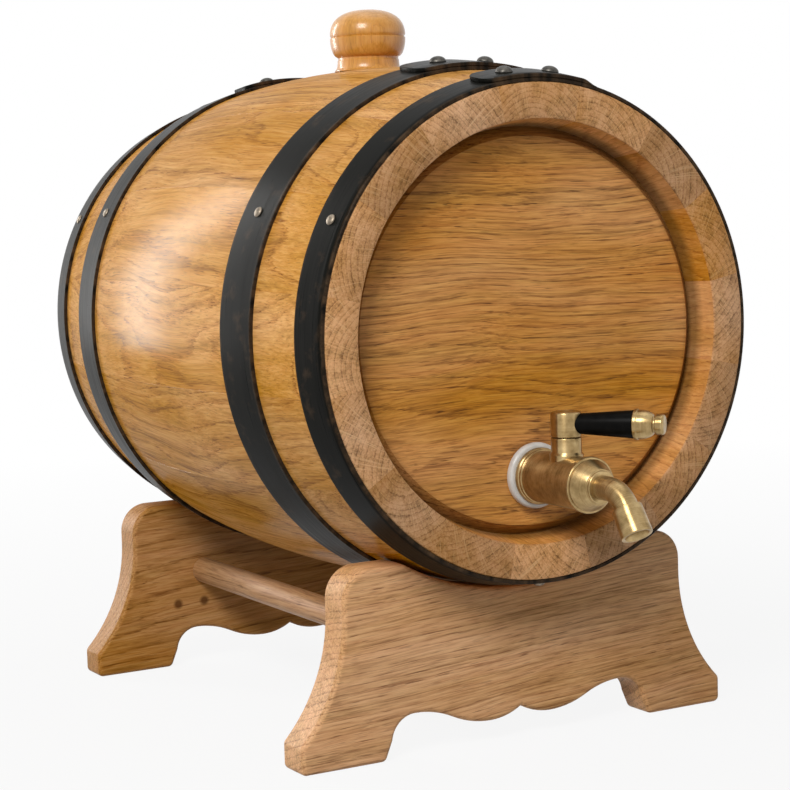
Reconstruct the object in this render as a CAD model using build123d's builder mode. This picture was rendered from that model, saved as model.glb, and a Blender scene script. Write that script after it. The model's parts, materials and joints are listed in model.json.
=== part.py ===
from build123d import *
import os
from math import cos, degrees, radians, sin, sqrt, tan

# An oak cask lying in a cradle stand, with a lever tap in its front head and a bung on top.
# Millimetres. X is to the right as seen from the front, Y runs from front to back and Z is up.
# The origin is on the floor, under the middle of the whole object.
# The cask's own places are given along its axis from its middle, and angles from its top.

# Clearances
FIT = 0.05  # pieces that are pushed, nailed or screwed together
RUNNING_FIT = 0.05  # the valve plug in its chamber
LOOSE_FIT = 0.3  # pieces that lift off or turn past each other

# Staves
CASK_LENGTH = 320.0
END_RADIUS = 115.0  # outside, at the rims
STAVE_RISE = 15.0  # how far the staves bulge out between the rims
STAVE_COUNT = 16
STAVE_THICKNESS = 22.0
RIM_WIDTH = 16.5

# Heads, and the croze groove in the staves that holds them
HEAD_SETBACK = 13.0  # from the rim to the face of the head
HEAD_THICKNESS = 15.0
HEAD_BEVEL_WIDTH = 4.8
CROZE_WIDTH = 6.0
CROZE_DEPTH = 4.0
DOWEL_RADIUS = 3.0
DOWEL_LENGTH = 28.0

# Hoops, with lapped ends riveted together on top of the cask
HOOP_THICKNESS = 2.0
HEAD_HOOP_SETBACK = 0.5
HEAD_HOOP_WIDTH = 19.5
QUARTER_HOOP_SETBACK = 54.5
QUARTER_HOOP_WIDTH = 26.0
LAP_START_ANGLE = -13.5
LAP_END_ANGLE = 12.0
LAP_RAMP_ANGLE = 4.0
LAP_CORNER = 7.0
RIVET_ANGLES = (-6.0, 6.0)
RIVET_HEAD_RADIUS = 4.1
RIVET_HEAD_HEIGHT = 2.6
RIVET_SHANK_RADIUS = 2.0
NAIL_ANGLES = (-62.0, 62.0, 180.0)
NAIL_HEAD_RADIUS = 2.6
NAIL_HEAD_HEIGHT = 1.2
NAIL_SHANK_RADIUS = 1.0
NAIL_LENGTH = 12.0

# Bung: a tapered plug, a flared collar, a neck and a turned knob, measured up from its seat
PLUG_TOP_RADIUS = 14.5
PLUG_TAPER = 0.06  # radius lost for each millimetre of depth
PLUG_LENGTH = 32.0
COLLAR_BASE_RADIUS = 17.6
COLLAR_TOP_RADIUS = 16.6
COLLAR_HEIGHT = 6.2
NECK_RADIUS = 15.8
NECK_HEIGHT = 7.6
KNOB_RADIUS = 19.6
KNOB_EQUATOR = 17.4
KNOB_SHOULDER_RADIUS = 10.5
BUNG_HEIGHT = 32.0
GROOVE_DEPTH = 0.5
GROOVE_WIDTH = 1.0

# Tap, measured forward from the face of the head
TAP_EDGE_DISTANCE = 23.5  # from the axis of the tap to the bevel of the head
SEAL_RADIUS = 15.6
SEAL_THICKNESS = 4.5
SEAL_ROUNDING = 1.8
SHANK_RADIUS = 8.3
SHANK_SPARE = 3.0
FLANGE_RADIUS = 13.4
FLANGE_THICKNESS = 2.6
FLANGE_STEP_RADIUS = 12.8
FLANGE_STEP = 1.4
BODY_RADIUS = 12.2
BODY_REACH = 47.0
FRONT_RING_RADIUS = 12.9
FRONT_RING_WIDTH = 3.2
TAP_BORE_RADIUS = 3.6
NOSE_BASE_RADIUS = 12.2
NOSE_TIP_RADIUS = 8.2
NOSE_LENGTH = 7.5
NOSE_LIP_RADIUS = 7.6
NOSE_LIP_WIDTH = 1.6
NOSE_SPIGOT_RADIUS = 7.2
NOSE_SPIGOT_LENGTH = 6.0
SPOUT_RADIUS = 5.5
SPOUT_BORE_RADIUS = 4.3
SPOUT_SOCKET_DEPTH = 6.0
SPOUT_RUN = 13.4  # from the nose cone to the corner of the bend
SPOUT_BEND_RADIUS = 16.0
SPOUT_TURN = 57.0
NOZZLE_TOP_RADIUS = 6.9
NOZZLE_MOUTH_RADIUS = 7.3
NOZZLE_LENGTH = 13.5
NOZZLE_SOCKET_DEPTH = 8.0
INNER_SEAL_RADIUS = 13.5
INNER_SEAL_THICKNESS = 2.5
NUT_ACROSS_FLATS = 24.0
NUT_THICKNESS = 7.0

# Valve, measured up from the axis of the tap
BONNET_SETBACK = 19.0  # from the front of the tap's body
BONNET_RADIUS = 7.1
BONNET_HEIGHT = 20.4
VALVE_RADIUS = 5.4
VALVE_BOTTOM = 8.0  # below the axis of the tap
VALVE_SHOULDER = 14.0
STEM_RADIUS = 3.2
STEM_TOP = 30.0
O_RING_HEIGHT = 9.0
O_RING_SECTION = 0.6
O_RING_GROOVE_DEPTH = 1.2
RETAINER_THICKNESS = 1.2
RETAINER_BITE = 0.7  # how far the ring reaches into the wall of the bonnet

# Lever, measured out from the axis of the valve
LEVER_ANGLE = 40.0  # from straight ahead, to the right
LEVER_HEIGHT = 26.6
HUB_TOP = 32.2
HUB_RADIUS = 7.1
HUB_ROUNDING = 0.8
STUD_RADIUS = 2.2
STUD_START = 4.4
STUD_END = 37.0
GRIP_START_RADIUS = 4.3  # where its taper would meet the axis of the valve
GRIP_END_RADIUS = 6.5
GRIP_REACH = 32.3
GRIP_ROUNDING = 0.5
CAP_RIM_RADIUS = 7.1
CAP_RIM_WIDTH = 1.6
CAP_DOME_LENGTH = 7.4
CAP_NECK_RADIUS = 3.8
CAP_NECK_LENGTH = 1.0
BUTTON_RADIUS = 4.7
BUTTON_LENGTH = 4.0
BUTTON_ROUNDING = 0.8
GRUB_SCREW_RADIUS = 1.5
GRUB_SCREW_LENGTH = 3.2
GRUB_SOCKET_RADIUS = 0.8
GRUB_SOCKET_DEPTH = 1.5

# Stand: two shaped boards joined by two round stretchers
BOARD_SETBACK = 27.4  # from the rim to the outer face of a board
BOARD_THICKNESS = 20.0
BOARD_ROUNDING = 2.5
SADDLE_HEIGHT = 74.4
HORN_RISE = 17.6  # from the bottom of the saddle to the shoulders
HORN_ROUNDING = 4.0
SHOULDER_WIDTH = 32.6
SHOULDER_ROUNDING = 15.0
WAIST_RUN = 6.0
FLARE_SWEEP = 44.6  # the angle that the curve from waist to foot turns through
FOOT_WIDTH = 44.2
FOOT_HEIGHT = 13.0
FOOT_ROUNDING = 3.0
ARCH_LEAN = 4.0
ARCH_SPRING_HEIGHT = 9.5
ARCH_CORNER_WIDTH = 12.5
ARCH_TOP_HEIGHT = 20.5
LOBE_HALF_WIDTH = 17.0
LOBE_HEIGHT = 10.7
CUSP_HEIGHT = 15.5
STRETCHER_RADIUS = 7.0
STRETCHER_INSET = 9.3  # from the horn of the saddle
STRETCHER_DROP = 21.4  # below the bottom of the saddle
STRETCHER_SOCKET = 12.0

# The stave's curve: an arc of one circle from rim to rim
HALF_LENGTH = CASK_LENGTH / 2
STAVE_ANGLE = 360 / STAVE_COUNT
BILGE_RADIUS = END_RADIUS + STAVE_RISE
RIM_INNER_RADIUS = END_RADIUS - RIM_WIDTH
CURVE_RADIUS = (HALF_LENGTH**2 + STAVE_RISE**2) / (2 * STAVE_RISE)


def outside_radius(along):
    """Radius of the outside of the staves at a distance from the cask's middle."""
    return BILGE_RADIUS - CURVE_RADIUS + sqrt(CURVE_RADIUS**2 - along**2)


def inside_radius(along):
    """Radius of the inside of the staves at a distance from the cask's middle."""
    return BILGE_RADIUS - CURVE_RADIUS + sqrt((CURVE_RADIUS - STAVE_THICKNESS) ** 2 - along**2)


HEAD_FACE = HALF_LENGTH - HEAD_SETBACK
HEAD_BACK = HEAD_FACE - HEAD_THICKNESS
CROZE_NEAR = HEAD_FACE - (HEAD_THICKNESS - CROZE_WIDTH) / 2
CROZE_FAR = CROZE_NEAR - CROZE_WIDTH
CROZE_RADIUS = inside_radius(CROZE_NEAR) + CROZE_DEPTH
HEAD_FLAT_RADIUS = inside_radius(CROZE_NEAR) - HEAD_BEVEL_WIDTH
HEAD_SEAM = CROZE_RADIUS / 3  # half the width of the middle one of three equal boards
DOWEL_OFFSET = HEAD_FLAT_RADIUS / 2

# How far the spout's mouth reaches forward decides where the cask stands over the origin
BONNET_REACH = BODY_REACH - BONNET_SETBACK
NOSE_FRONT = BODY_REACH + NOSE_LENGTH + NOSE_LIP_WIDTH
SPOUT_REACH = NOSE_FRONT + SPOUT_RUN
TAP_DROP = HEAD_FLAT_RADIUS - TAP_EDGE_DISTANCE
SPOUT_TANGENT = SPOUT_BEND_RADIUS * tan(radians(SPOUT_TURN / 2))
SPOUT_AHEAD = cos(radians(SPOUT_TURN))
SPOUT_DOWN = sin(radians(SPOUT_TURN))
NOZZLE_END = SPOUT_TANGENT + NOZZLE_LENGTH
FRONT_REACH = SPOUT_REACH + NOZZLE_END * SPOUT_AHEAD + NOZZLE_MOUTH_RADIUS * SPOUT_DOWN - HEAD_SETBACK

# The cask rests in the saddles, where the rounding of their inner edges begins
BOARD_INNER = HALF_LENGTH - BOARD_SETBACK - BOARD_THICKNESS
SADDLE_RADIUS = outside_radius(BOARD_INNER + BOARD_ROUNDING) + LOOSE_FIT
AXIS_HEIGHT = SADDLE_HEIGHT + SADDLE_RADIUS
SHOULDER_HEIGHT = SADDLE_HEIGHT + HORN_RISE
HORN_HALF_WIDTH = sqrt(SADDLE_RADIUS**2 - (SADDLE_RADIUS - HORN_RISE) ** 2)
CASK_CENTRE = Vector(0, FRONT_REACH / 2, AXIS_HEIGHT)
CASK_AXIS = Axis(CASK_CENTRE, (0, 1, 0))

HOOP_SETBACKS = {
    "head_hoop": (HEAD_HOOP_SETBACK, HEAD_HOOP_WIDTH),
    "quarter_hoop": (QUARTER_HOOP_SETBACK, QUARTER_HOOP_WIDTH),
}
ENDS = {"front": -1, "rear": 1}
HOOPS = {
    f"{end}_{hoop}": (side * (HALF_LENGTH - setback), side * (HALF_LENGTH - setback - width))
    for end, side in ENDS.items()
    for hoop, (setback, width) in HOOP_SETBACKS.items()
}

# Places on the cask, the tap and the lever
BUNG_SEAT_RADIUS = COLLAR_BASE_RADIUS + LOOSE_FIT
BUNG = Plane(origin=CASK_CENTRE + Vector(0, 0, sqrt(BILGE_RADIUS**2 - BUNG_SEAT_RADIUS**2)))
TAP = Plane(origin=CASK_CENTRE + Vector(0, -HEAD_FACE, -TAP_DROP), x_dir=(1, 0, 0), z_dir=(0, -1, 0))
VALVE = Plane(origin=TAP.origin + TAP.z_dir * BONNET_REACH)
LEVER_WAY = Vector(sin(radians(LEVER_ANGLE)), -cos(radians(LEVER_ANGLE)), 0)
LEVER = Plane(origin=VALVE.origin + Vector(0, 0, LEVER_HEIGHT), x_dir=(0, 0, 1), z_dir=LEVER_WAY)
HUB_BASE = BONNET_HEIGHT + LOOSE_FIT


def radial_plane(angle):
    """The plane through the cask's axis at an angle, to draw (along, radius) in."""
    turn = radians(angle)
    return Plane(origin=CASK_CENTRE, x_dir=(0, 1, 0), z_dir=(cos(turn), 0, -sin(turn)))


def surface_plane(angle, along, height):
    """The plane that lies on the outside of the cask, at a height above the staves."""
    turn = radians(angle)
    radius = outside_radius(along) + height
    slope = along / CURVE_RADIUS
    level = sqrt(1 - slope**2)
    foot = CASK_CENTRE + Vector(radius * sin(turn), along, radius * cos(turn))
    return Plane(origin=foot, z_dir=(level * sin(turn), slope, level * cos(turn)))


def turning_axis(base):
    """The line that a piece on this plane is turned about."""
    return Axis(base.origin, base.z_dir)


def turning_plane(base):
    """The plane to draw (radius, height) in for a piece that is turned on this plane."""
    return Plane(origin=base.origin, x_dir=base.x_dir, z_dir=-base.y_dir)


def turned(base, *corners):
    """A straight-sided outline of (radius, height) corners for a piece turned on this plane."""
    with BuildSketch(turning_plane(base)) as outline:
        with BuildLine():
            Polyline(*corners, close=True)
        make_face()
    return outline.sketch


def keep(piece, name):
    """Label a finished piece and write it to a file of its own."""
    piece.part.label = name
    export_step(piece.part, f"parts/{name}.step")


def stave_outline(angle):
    """The long section of a stave, with its bevelled rims and croze grooves."""
    rear_end = [
        (HALF_LENGTH, END_RADIUS),
        (HALF_LENGTH, RIM_INNER_RADIUS),
        (CROZE_NEAR, inside_radius(CROZE_NEAR)),
        (CROZE_NEAR, CROZE_RADIUS),
        (CROZE_FAR, CROZE_RADIUS),
        (CROZE_FAR, inside_radius(CROZE_FAR)),
    ]
    front_end = [(-along, radius) for along, radius in rear_end]
    with BuildSketch(radial_plane(angle)) as outline:
        with BuildLine():
            ThreePointArc(front_end[0], (0, BILGE_RADIUS), rear_end[0])
            Polyline(*rear_end)
            ThreePointArc(rear_end[-1], (0, BILGE_RADIUS - STAVE_THICKNESS), front_end[-1])
            Polyline(*front_end)
        make_face()
    return outline.sketch


def nail_places(angles):
    """The planes under the heads of the nails at these angles, one on each hoop."""
    middles = [(first + last) / 2 for first, last in HOOPS.values()]
    return [surface_plane(angle, middle, HOOP_THICKNESS) for angle in angles for middle in middles]


def angle_between(first, second):
    return abs((first - second + 180) % 360 - 180)


def make_staves():
    hole_depth = STAVE_THICKNESS + PLUG_LENGTH
    reach = STAVE_ANGLE / 2 + degrees(NAIL_SHANK_RADIUS / END_RADIUS)
    for number in range(STAVE_COUNT):
        angle = number * STAVE_ANGLE
        nails = [nail for nail in NAIL_ANGLES if angle_between(nail, angle) < reach]
        with BuildPart() as stave:
            revolve(stave_outline(angle - STAVE_ANGLE / 2), axis=CASK_AXIS, revolution_arc=STAVE_ANGLE)
            for place in nail_places(nails):
                with Locations(place):
                    Hole(NAIL_SHANK_RADIUS + FIT, depth=NAIL_LENGTH + FIT)
            if number == 0:
                seat_and_hole = turned(
                    BUNG,
                    (0, BUNG_HEIGHT),
                    (BUNG_SEAT_RADIUS, BUNG_HEIGHT),
                    (BUNG_SEAT_RADIUS, 0),
                    (PLUG_TOP_RADIUS + LOOSE_FIT, 0),
                    (PLUG_TOP_RADIUS + LOOSE_FIT - PLUG_TAPER * hole_depth, -hole_depth),
                    (0, -hole_depth),
                )
                revolve(seat_and_hole, axis=turning_axis(BUNG), mode=Mode.SUBTRACT)
        keep(stave, "bung_stave" if number == 0 else f"stave_{number + 1:02d}")


def head_outline(side):
    """Half the section of a head: flat faces, bevelled to a tongue that sits in the croze."""
    tongue_root = inside_radius(CROZE_NEAR) - LOOSE_FIT
    tongue_tip = CROZE_RADIUS - FIT
    corners = [
        (HEAD_FACE, 0),
        (HEAD_FACE, HEAD_FLAT_RADIUS),
        (CROZE_NEAR - FIT, tongue_root),
        (CROZE_NEAR - FIT, tongue_tip),
        (CROZE_FAR + FIT, tongue_tip),
        (CROZE_FAR + FIT, tongue_root),
        (HEAD_BACK, HEAD_FLAT_RADIUS),
        (HEAD_BACK, 0),
    ]
    with BuildSketch(radial_plane(0)) as outline:
        with BuildLine():
            Polyline(*[(side * along, radius) for along, radius in corners], close=True)
        make_face()
    return outline.sketch


def make_heads():
    boards = {
        "upper": (HEAD_SEAM, CROZE_RADIUS),
        "middle": (-HEAD_SEAM, HEAD_SEAM),
        "lower": (-CROZE_RADIUS, -HEAD_SEAM),
    }
    for end, side in ENDS.items():
        middle = CASK_CENTRE + Vector(0, side * (HEAD_FACE - HEAD_THICKNESS / 2), 0)
        dowels = [
            middle + Vector(across * DOWEL_OFFSET, 0, up * HEAD_SEAM) for across in (-1, 1) for up in (-1, 1)
        ]
        for board_name, (low, high) in boards.items():
            with BuildPart() as board:
                revolve(head_outline(side), axis=CASK_AXIS)
                with Locations(middle + Vector(0, 0, (low + high) / 2)):
                    Box(2 * CROZE_RADIUS, HEAD_THICKNESS, high - low, mode=Mode.INTERSECT)
                with Locations(*dowels):
                    Cylinder(DOWEL_RADIUS + FIT, DOWEL_LENGTH + 2 * FIT, mode=Mode.SUBTRACT)
                if end == "front":
                    with Locations(TAP):
                        Hole(SHANK_RADIUS + LOOSE_FIT)
            keep(board, f"{end}_head_{board_name}_board")
        with BuildPart() as pins:
            with Locations(*dowels):
                Cylinder(DOWEL_RADIUS, DOWEL_LENGTH)
        keep(pins, f"{end}_head_dowels")


def band_outline(angle, first, last, low, high):
    """The section of a strip that follows the outside of the staves between two heights."""
    curve = [(along, outside_radius(along)) for along in (first, (first + last) / 2, last)]
    with BuildSketch(radial_plane(angle)) as outline:
        with BuildLine():
            inner = ThreePointArc(*[(along, radius + low) for along, radius in curve])
            outer = ThreePointArc(*[(along, radius + high) for along, radius in curve])
            Line(inner @ 0, outer @ 0)
            Line(inner @ 1, outer @ 1)
        make_face()
    return outline.sketch


def make_hoops():
    root = HOOP_THICKNESS / 2
    shank = 2 * HOOP_THICKNESS - LOOSE_FIT
    # Seen from above the free end: x is along the cask, and the lap runs towards -y
    lap_plan = Plane(origin=CASK_CENTRE, x_dir=(0, 1, 0), z_dir=radial_plane(LAP_START_ANGLE).y_dir)
    for name, (first, last) in HOOPS.items():
        middle = (first + last) / 2
        rivets = [surface_plane(angle, middle, 2 * HOOP_THICKNESS) for angle in RIVET_ANGLES]
        with BuildPart() as hoop:
            # The outer layer of the lap: its free end has clipped corners, its other end runs down a ramp
            lap_start = band_outline(LAP_START_ANGLE, first, last, root, 2 * HOOP_THICKNESS)
            revolve(lap_start, axis=CASK_AXIS, revolution_arc=LAP_END_ANGLE - LAP_START_ANGLE)
            for edge, clip in ((min(first, last), LAP_CORNER), (max(first, last), -LAP_CORNER)):
                with BuildSketch(lap_plan):
                    with BuildLine():
                        Polyline((edge, 0), (edge + clip, 0), (edge, -LAP_CORNER), close=True)
                    make_face()
                extrude(amount=2 * BILGE_RADIUS, mode=Mode.SUBTRACT)
            ramp_top = band_outline(LAP_END_ANGLE, first, last, root, 2 * HOOP_THICKNESS)
            ramp_foot = band_outline(LAP_END_ANGLE + LAP_RAMP_ANGLE, first, last, root, HOOP_THICKNESS)
            loft([ramp_top.face(), ramp_foot.face()], ruled=True)
            # The ring under it, once round the staves
            revolve(band_outline(0, first, last, FIT, HOOP_THICKNESS), axis=CASK_AXIS)
            with Locations(*rivets):
                Hole(RIVET_SHANK_RADIUS + FIT, depth=3 * HOOP_THICKNESS)
            nails = [surface_plane(angle, middle, HOOP_THICKNESS) for angle in NAIL_ANGLES]
            with Locations(*nails):
                Hole(NAIL_SHANK_RADIUS + FIT, depth=2 * HOOP_THICKNESS)
        keep(hoop, name)
        with BuildPart() as pair:
            for rivet in rivets:
                pin = domed_pin(rivet, RIVET_HEAD_RADIUS, RIVET_HEAD_HEIGHT, RIVET_SHANK_RADIUS, shank)
                revolve(pin, axis=turning_axis(rivet))
        keep(pair, f"{name}_rivets")


def domed_pin(base, head_radius, head_height, shank_radius, shank_length):
    """The outline of a rivet or nail whose head sits on this plane."""
    with BuildSketch(turning_plane(base)) as outline:
        with BuildLine():
            TangentArc((0, head_height), (head_radius, 0), tangent=(1, 0))
            Polyline(
                (head_radius, 0),
                (shank_radius, 0),
                (shank_radius, -shank_length),
                (0, -shank_length),
                (0, head_height),
            )
        make_face()
    return outline.sketch


def make_hoop_nails():
    with BuildPart() as nails:
        for place in nail_places(NAIL_ANGLES):
            pin = domed_pin(place, NAIL_HEAD_RADIUS, NAIL_HEAD_HEIGHT, NAIL_SHANK_RADIUS, NAIL_LENGTH)
            revolve(pin, axis=turning_axis(place))
    keep(nails, "hoop_nails")


def make_bung():
    tip_radius = PLUG_TOP_RADIUS - PLUG_TAPER * PLUG_LENGTH
    # The knob's dome: a round shoulder that runs into a flatter crown
    dome_base = KNOB_EQUATOR + GROOVE_WIDTH
    dome = Vector(KNOB_RADIUS - KNOB_SHOULDER_RADIUS, BUNG_HEIGHT - dome_base)
    spare = dome.Y - KNOB_SHOULDER_RADIUS
    crown_radius = (dome.X**2 + dome.Y**2 - KNOB_SHOULDER_RADIUS**2) / (2 * spare)
    crown_centre = Vector(0, BUNG_HEIGHT - crown_radius)
    shoulder_centre = Vector(dome.X, dome_base)
    crown_edge = crown_centre + (shoulder_centre - crown_centre).normalized() * crown_radius
    with BuildPart() as bung:
        with BuildSketch(turning_plane(BUNG)):
            with BuildLine():
                Polyline(
                    (0, BUNG_HEIGHT),
                    (0, -PLUG_LENGTH),
                    (tip_radius, -PLUG_LENGTH),
                    (PLUG_TOP_RADIUS, LOOSE_FIT),
                    (COLLAR_BASE_RADIUS, LOOSE_FIT),
                    (COLLAR_TOP_RADIUS, COLLAR_HEIGHT),
                    (NECK_RADIUS, COLLAR_HEIGHT),
                    (NECK_RADIUS, NECK_HEIGHT),
                )
                TangentArc((KNOB_RADIUS, KNOB_EQUATOR), (NECK_RADIUS, NECK_HEIGHT), tangent=(0, -1))
                Polyline(
                    (KNOB_RADIUS, KNOB_EQUATOR),
                    (KNOB_RADIUS - GROOVE_DEPTH, KNOB_EQUATOR + GROOVE_WIDTH / 2),
                    (KNOB_RADIUS, dome_base),
                )
                TangentArc((KNOB_RADIUS, dome_base), crown_edge, tangent=(0, 1))
                TangentArc((0, BUNG_HEIGHT), crown_edge, tangent=(1, 0))
            make_face()
        revolve(axis=turning_axis(BUNG))
    keep(bung, "bung")


def ring(base, inner, outer, low, high):
    """The outline of a plain ring turned on this plane."""
    return turned(base, (inner, low), (outer, low), (outer, high), (inner, high))


def make_tap_body():
    tail = HEAD_THICKNESS + INNER_SEAL_THICKNESS + NUT_THICKNESS + SHANK_SPARE
    flange_front = SEAL_THICKNESS + FLANGE_THICKNESS
    retainer_low = VALVE_SHOULDER + LOOSE_FIT
    retainer_top = retainer_low + RETAINER_THICKNESS
    retainer_radius = VALVE_RADIUS + RETAINER_BITE
    with BuildPart() as body:
        outside = turned(
            TAP,
            (0, -tail),
            (SHANK_RADIUS, -tail),
            (SHANK_RADIUS, SEAL_THICKNESS),
            (FLANGE_RADIUS, SEAL_THICKNESS),
            (FLANGE_RADIUS, flange_front),
            (FLANGE_STEP_RADIUS, flange_front),
            (FLANGE_STEP_RADIUS, flange_front + FLANGE_STEP),
            (BODY_RADIUS, flange_front + FLANGE_STEP),
            (BODY_RADIUS, BODY_REACH - FRONT_RING_WIDTH),
            (FRONT_RING_RADIUS, BODY_REACH - FRONT_RING_WIDTH),
            (FRONT_RING_RADIUS, BODY_REACH),
            (0, BODY_REACH),
        )
        revolve(outside, axis=turning_axis(TAP))
        with BuildSketch(VALVE):
            Circle(BONNET_RADIUS)
        extrude(amount=BONNET_HEIGHT)
        revolve(ring(TAP, 0, TAP_BORE_RADIUS, -tail, BODY_REACH), axis=turning_axis(TAP), mode=Mode.SUBTRACT)
        socket = ring(TAP, 0, NOSE_SPIGOT_RADIUS + FIT, BODY_REACH - NOSE_SPIGOT_LENGTH - FIT, BODY_REACH)
        revolve(socket, axis=turning_axis(TAP), mode=Mode.SUBTRACT)
        chamber = ring(VALVE, 0, VALVE_RADIUS + RUNNING_FIT, -VALVE_BOTTOM - LOOSE_FIT, BONNET_HEIGHT)
        revolve(chamber, axis=turning_axis(VALVE), mode=Mode.SUBTRACT)
        groove = ring(VALVE, 0, retainer_radius + FIT, retainer_low - FIT, retainer_top + FIT)
        revolve(groove, axis=turning_axis(VALVE), mode=Mode.SUBTRACT)
    keep(body, "tap_body")

    with BuildPart() as retainer:
        flat = ring(VALVE, STEM_RADIUS + LOOSE_FIT, retainer_radius, retainer_low, retainer_top)
        revolve(flat, axis=turning_axis(VALVE))
    keep(retainer, "valve_retaining_ring")


def make_tap_fixings():
    with BuildPart() as seal:
        revolve(ring(TAP, SHANK_RADIUS + FIT, SEAL_RADIUS, 0, SEAL_THICKNESS), axis=turning_axis(TAP))
        outer_edges = seal.edges().filter_by(GeomType.CIRCLE).group_by(SortBy.RADIUS)[-1]
        fillet(outer_edges, SEAL_ROUNDING)
    keep(seal, "tap_outer_washer")

    with BuildPart() as inner_seal:
        inside = ring(
            TAP,
            SHANK_RADIUS + FIT,
            INNER_SEAL_RADIUS,
            -HEAD_THICKNESS - INNER_SEAL_THICKNESS,
            -HEAD_THICKNESS,
        )
        revolve(inside, axis=turning_axis(TAP))
    keep(inner_seal, "tap_inner_washer")

    with BuildPart() as nut:
        with BuildSketch(TAP.offset(-HEAD_THICKNESS - INNER_SEAL_THICKNESS)):
            RegularPolygon(NUT_ACROSS_FLATS / 2, 6, major_radius=False)
            Circle(SHANK_RADIUS + FIT, mode=Mode.SUBTRACT)
        extrude(amount=-NUT_THICKNESS)
    keep(nut, "tap_lock_nut")


def make_spout():
    socket_start = NOSE_FRONT - SPOUT_SOCKET_DEPTH
    with BuildPart() as nose:
        cone = turned(
            TAP,
            (TAP_BORE_RADIUS, BODY_REACH - NOSE_SPIGOT_LENGTH),
            (NOSE_SPIGOT_RADIUS, BODY_REACH - NOSE_SPIGOT_LENGTH),
            (NOSE_SPIGOT_RADIUS, BODY_REACH),
            (NOSE_BASE_RADIUS, BODY_REACH),
            (NOSE_TIP_RADIUS, BODY_REACH + NOSE_LENGTH),
            (NOSE_LIP_RADIUS, BODY_REACH + NOSE_LENGTH),
            (NOSE_LIP_RADIUS, NOSE_FRONT),
            (SPOUT_RADIUS + FIT, NOSE_FRONT),
            (SPOUT_RADIUS + FIT, socket_start - FIT),
            (TAP_BORE_RADIUS, socket_start - FIT),
        )
        revolve(cone, axis=turning_axis(TAP))
    keep(nose, "tap_nose_cone")

    side_view = Plane(origin=TAP.origin, x_dir=TAP.z_dir, z_dir=(-1, 0, 0))
    tube_end = SPOUT_TANGENT + NOZZLE_SOCKET_DEPTH
    with BuildPart() as spout:
        with BuildLine(side_view) as route:
            FilletPolyline(
                (socket_start, 0),
                (SPOUT_REACH, 0),
                (SPOUT_REACH + tube_end * SPOUT_AHEAD, -tube_end * SPOUT_DOWN),
                radius=SPOUT_BEND_RADIUS,
            )
        with BuildSketch(Plane(origin=route.line @ 0, z_dir=route.line % 0)):
            Circle(SPOUT_RADIUS)
            Circle(SPOUT_BORE_RADIUS, mode=Mode.SUBTRACT)
        sweep()
    keep(spout, "tap_spout")

    way = TAP.z_dir * SPOUT_AHEAD - Vector(0, 0, SPOUT_DOWN)
    corner = TAP.origin + TAP.z_dir * SPOUT_REACH
    nozzle_base = Plane(origin=corner + way * SPOUT_TANGENT, x_dir=(1, 0, 0), z_dir=way)
    with BuildPart() as nozzle:
        sleeve = turned(
            nozzle_base,
            (SPOUT_RADIUS + FIT, 0),
            (NOZZLE_TOP_RADIUS, 0),
            (NOZZLE_MOUTH_RADIUS, NOZZLE_LENGTH),
            (SPOUT_BORE_RADIUS, NOZZLE_LENGTH),
            (SPOUT_BORE_RADIUS, NOZZLE_SOCKET_DEPTH + FIT),
            (SPOUT_RADIUS + FIT, NOZZLE_SOCKET_DEPTH + FIT),
        )
        revolve(sleeve, axis=turning_axis(nozzle_base))
    keep(nozzle, "tap_nozzle")


def make_valve():
    groove_radius = VALVE_RADIUS - O_RING_GROOVE_DEPTH
    with BuildPart() as plug:
        outside = turned(
            VALVE,
            (0, -VALVE_BOTTOM),
            (VALVE_RADIUS, -VALVE_BOTTOM),
            (VALVE_RADIUS, O_RING_HEIGHT - O_RING_SECTION),
            (groove_radius, O_RING_HEIGHT - O_RING_SECTION),
            (groove_radius, O_RING_HEIGHT + O_RING_SECTION),
            (VALVE_RADIUS, O_RING_HEIGHT + O_RING_SECTION),
            (VALVE_RADIUS, VALVE_SHOULDER),
            (STEM_RADIUS, VALVE_SHOULDER),
            (STEM_RADIUS, STEM_TOP),
            (0, STEM_TOP),
        )
        revolve(outside, axis=turning_axis(VALVE))
        # The cross hole lines up with the bore when the lever points straight ahead
        with Locations(Plane(origin=VALVE.origin, z_dir=LEVER_WAY)):
            Hole(TAP_BORE_RADIUS)
    keep(plug, "valve_plug")

    centre = groove_radius + O_RING_SECTION
    with BuildPart() as o_ring:
        with BuildSketch(turning_plane(VALVE)):
            with Locations((centre, O_RING_HEIGHT)):
                Circle(O_RING_SECTION)
        revolve(axis=turning_axis(VALVE))
    keep(o_ring, "valve_o_ring")


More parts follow.
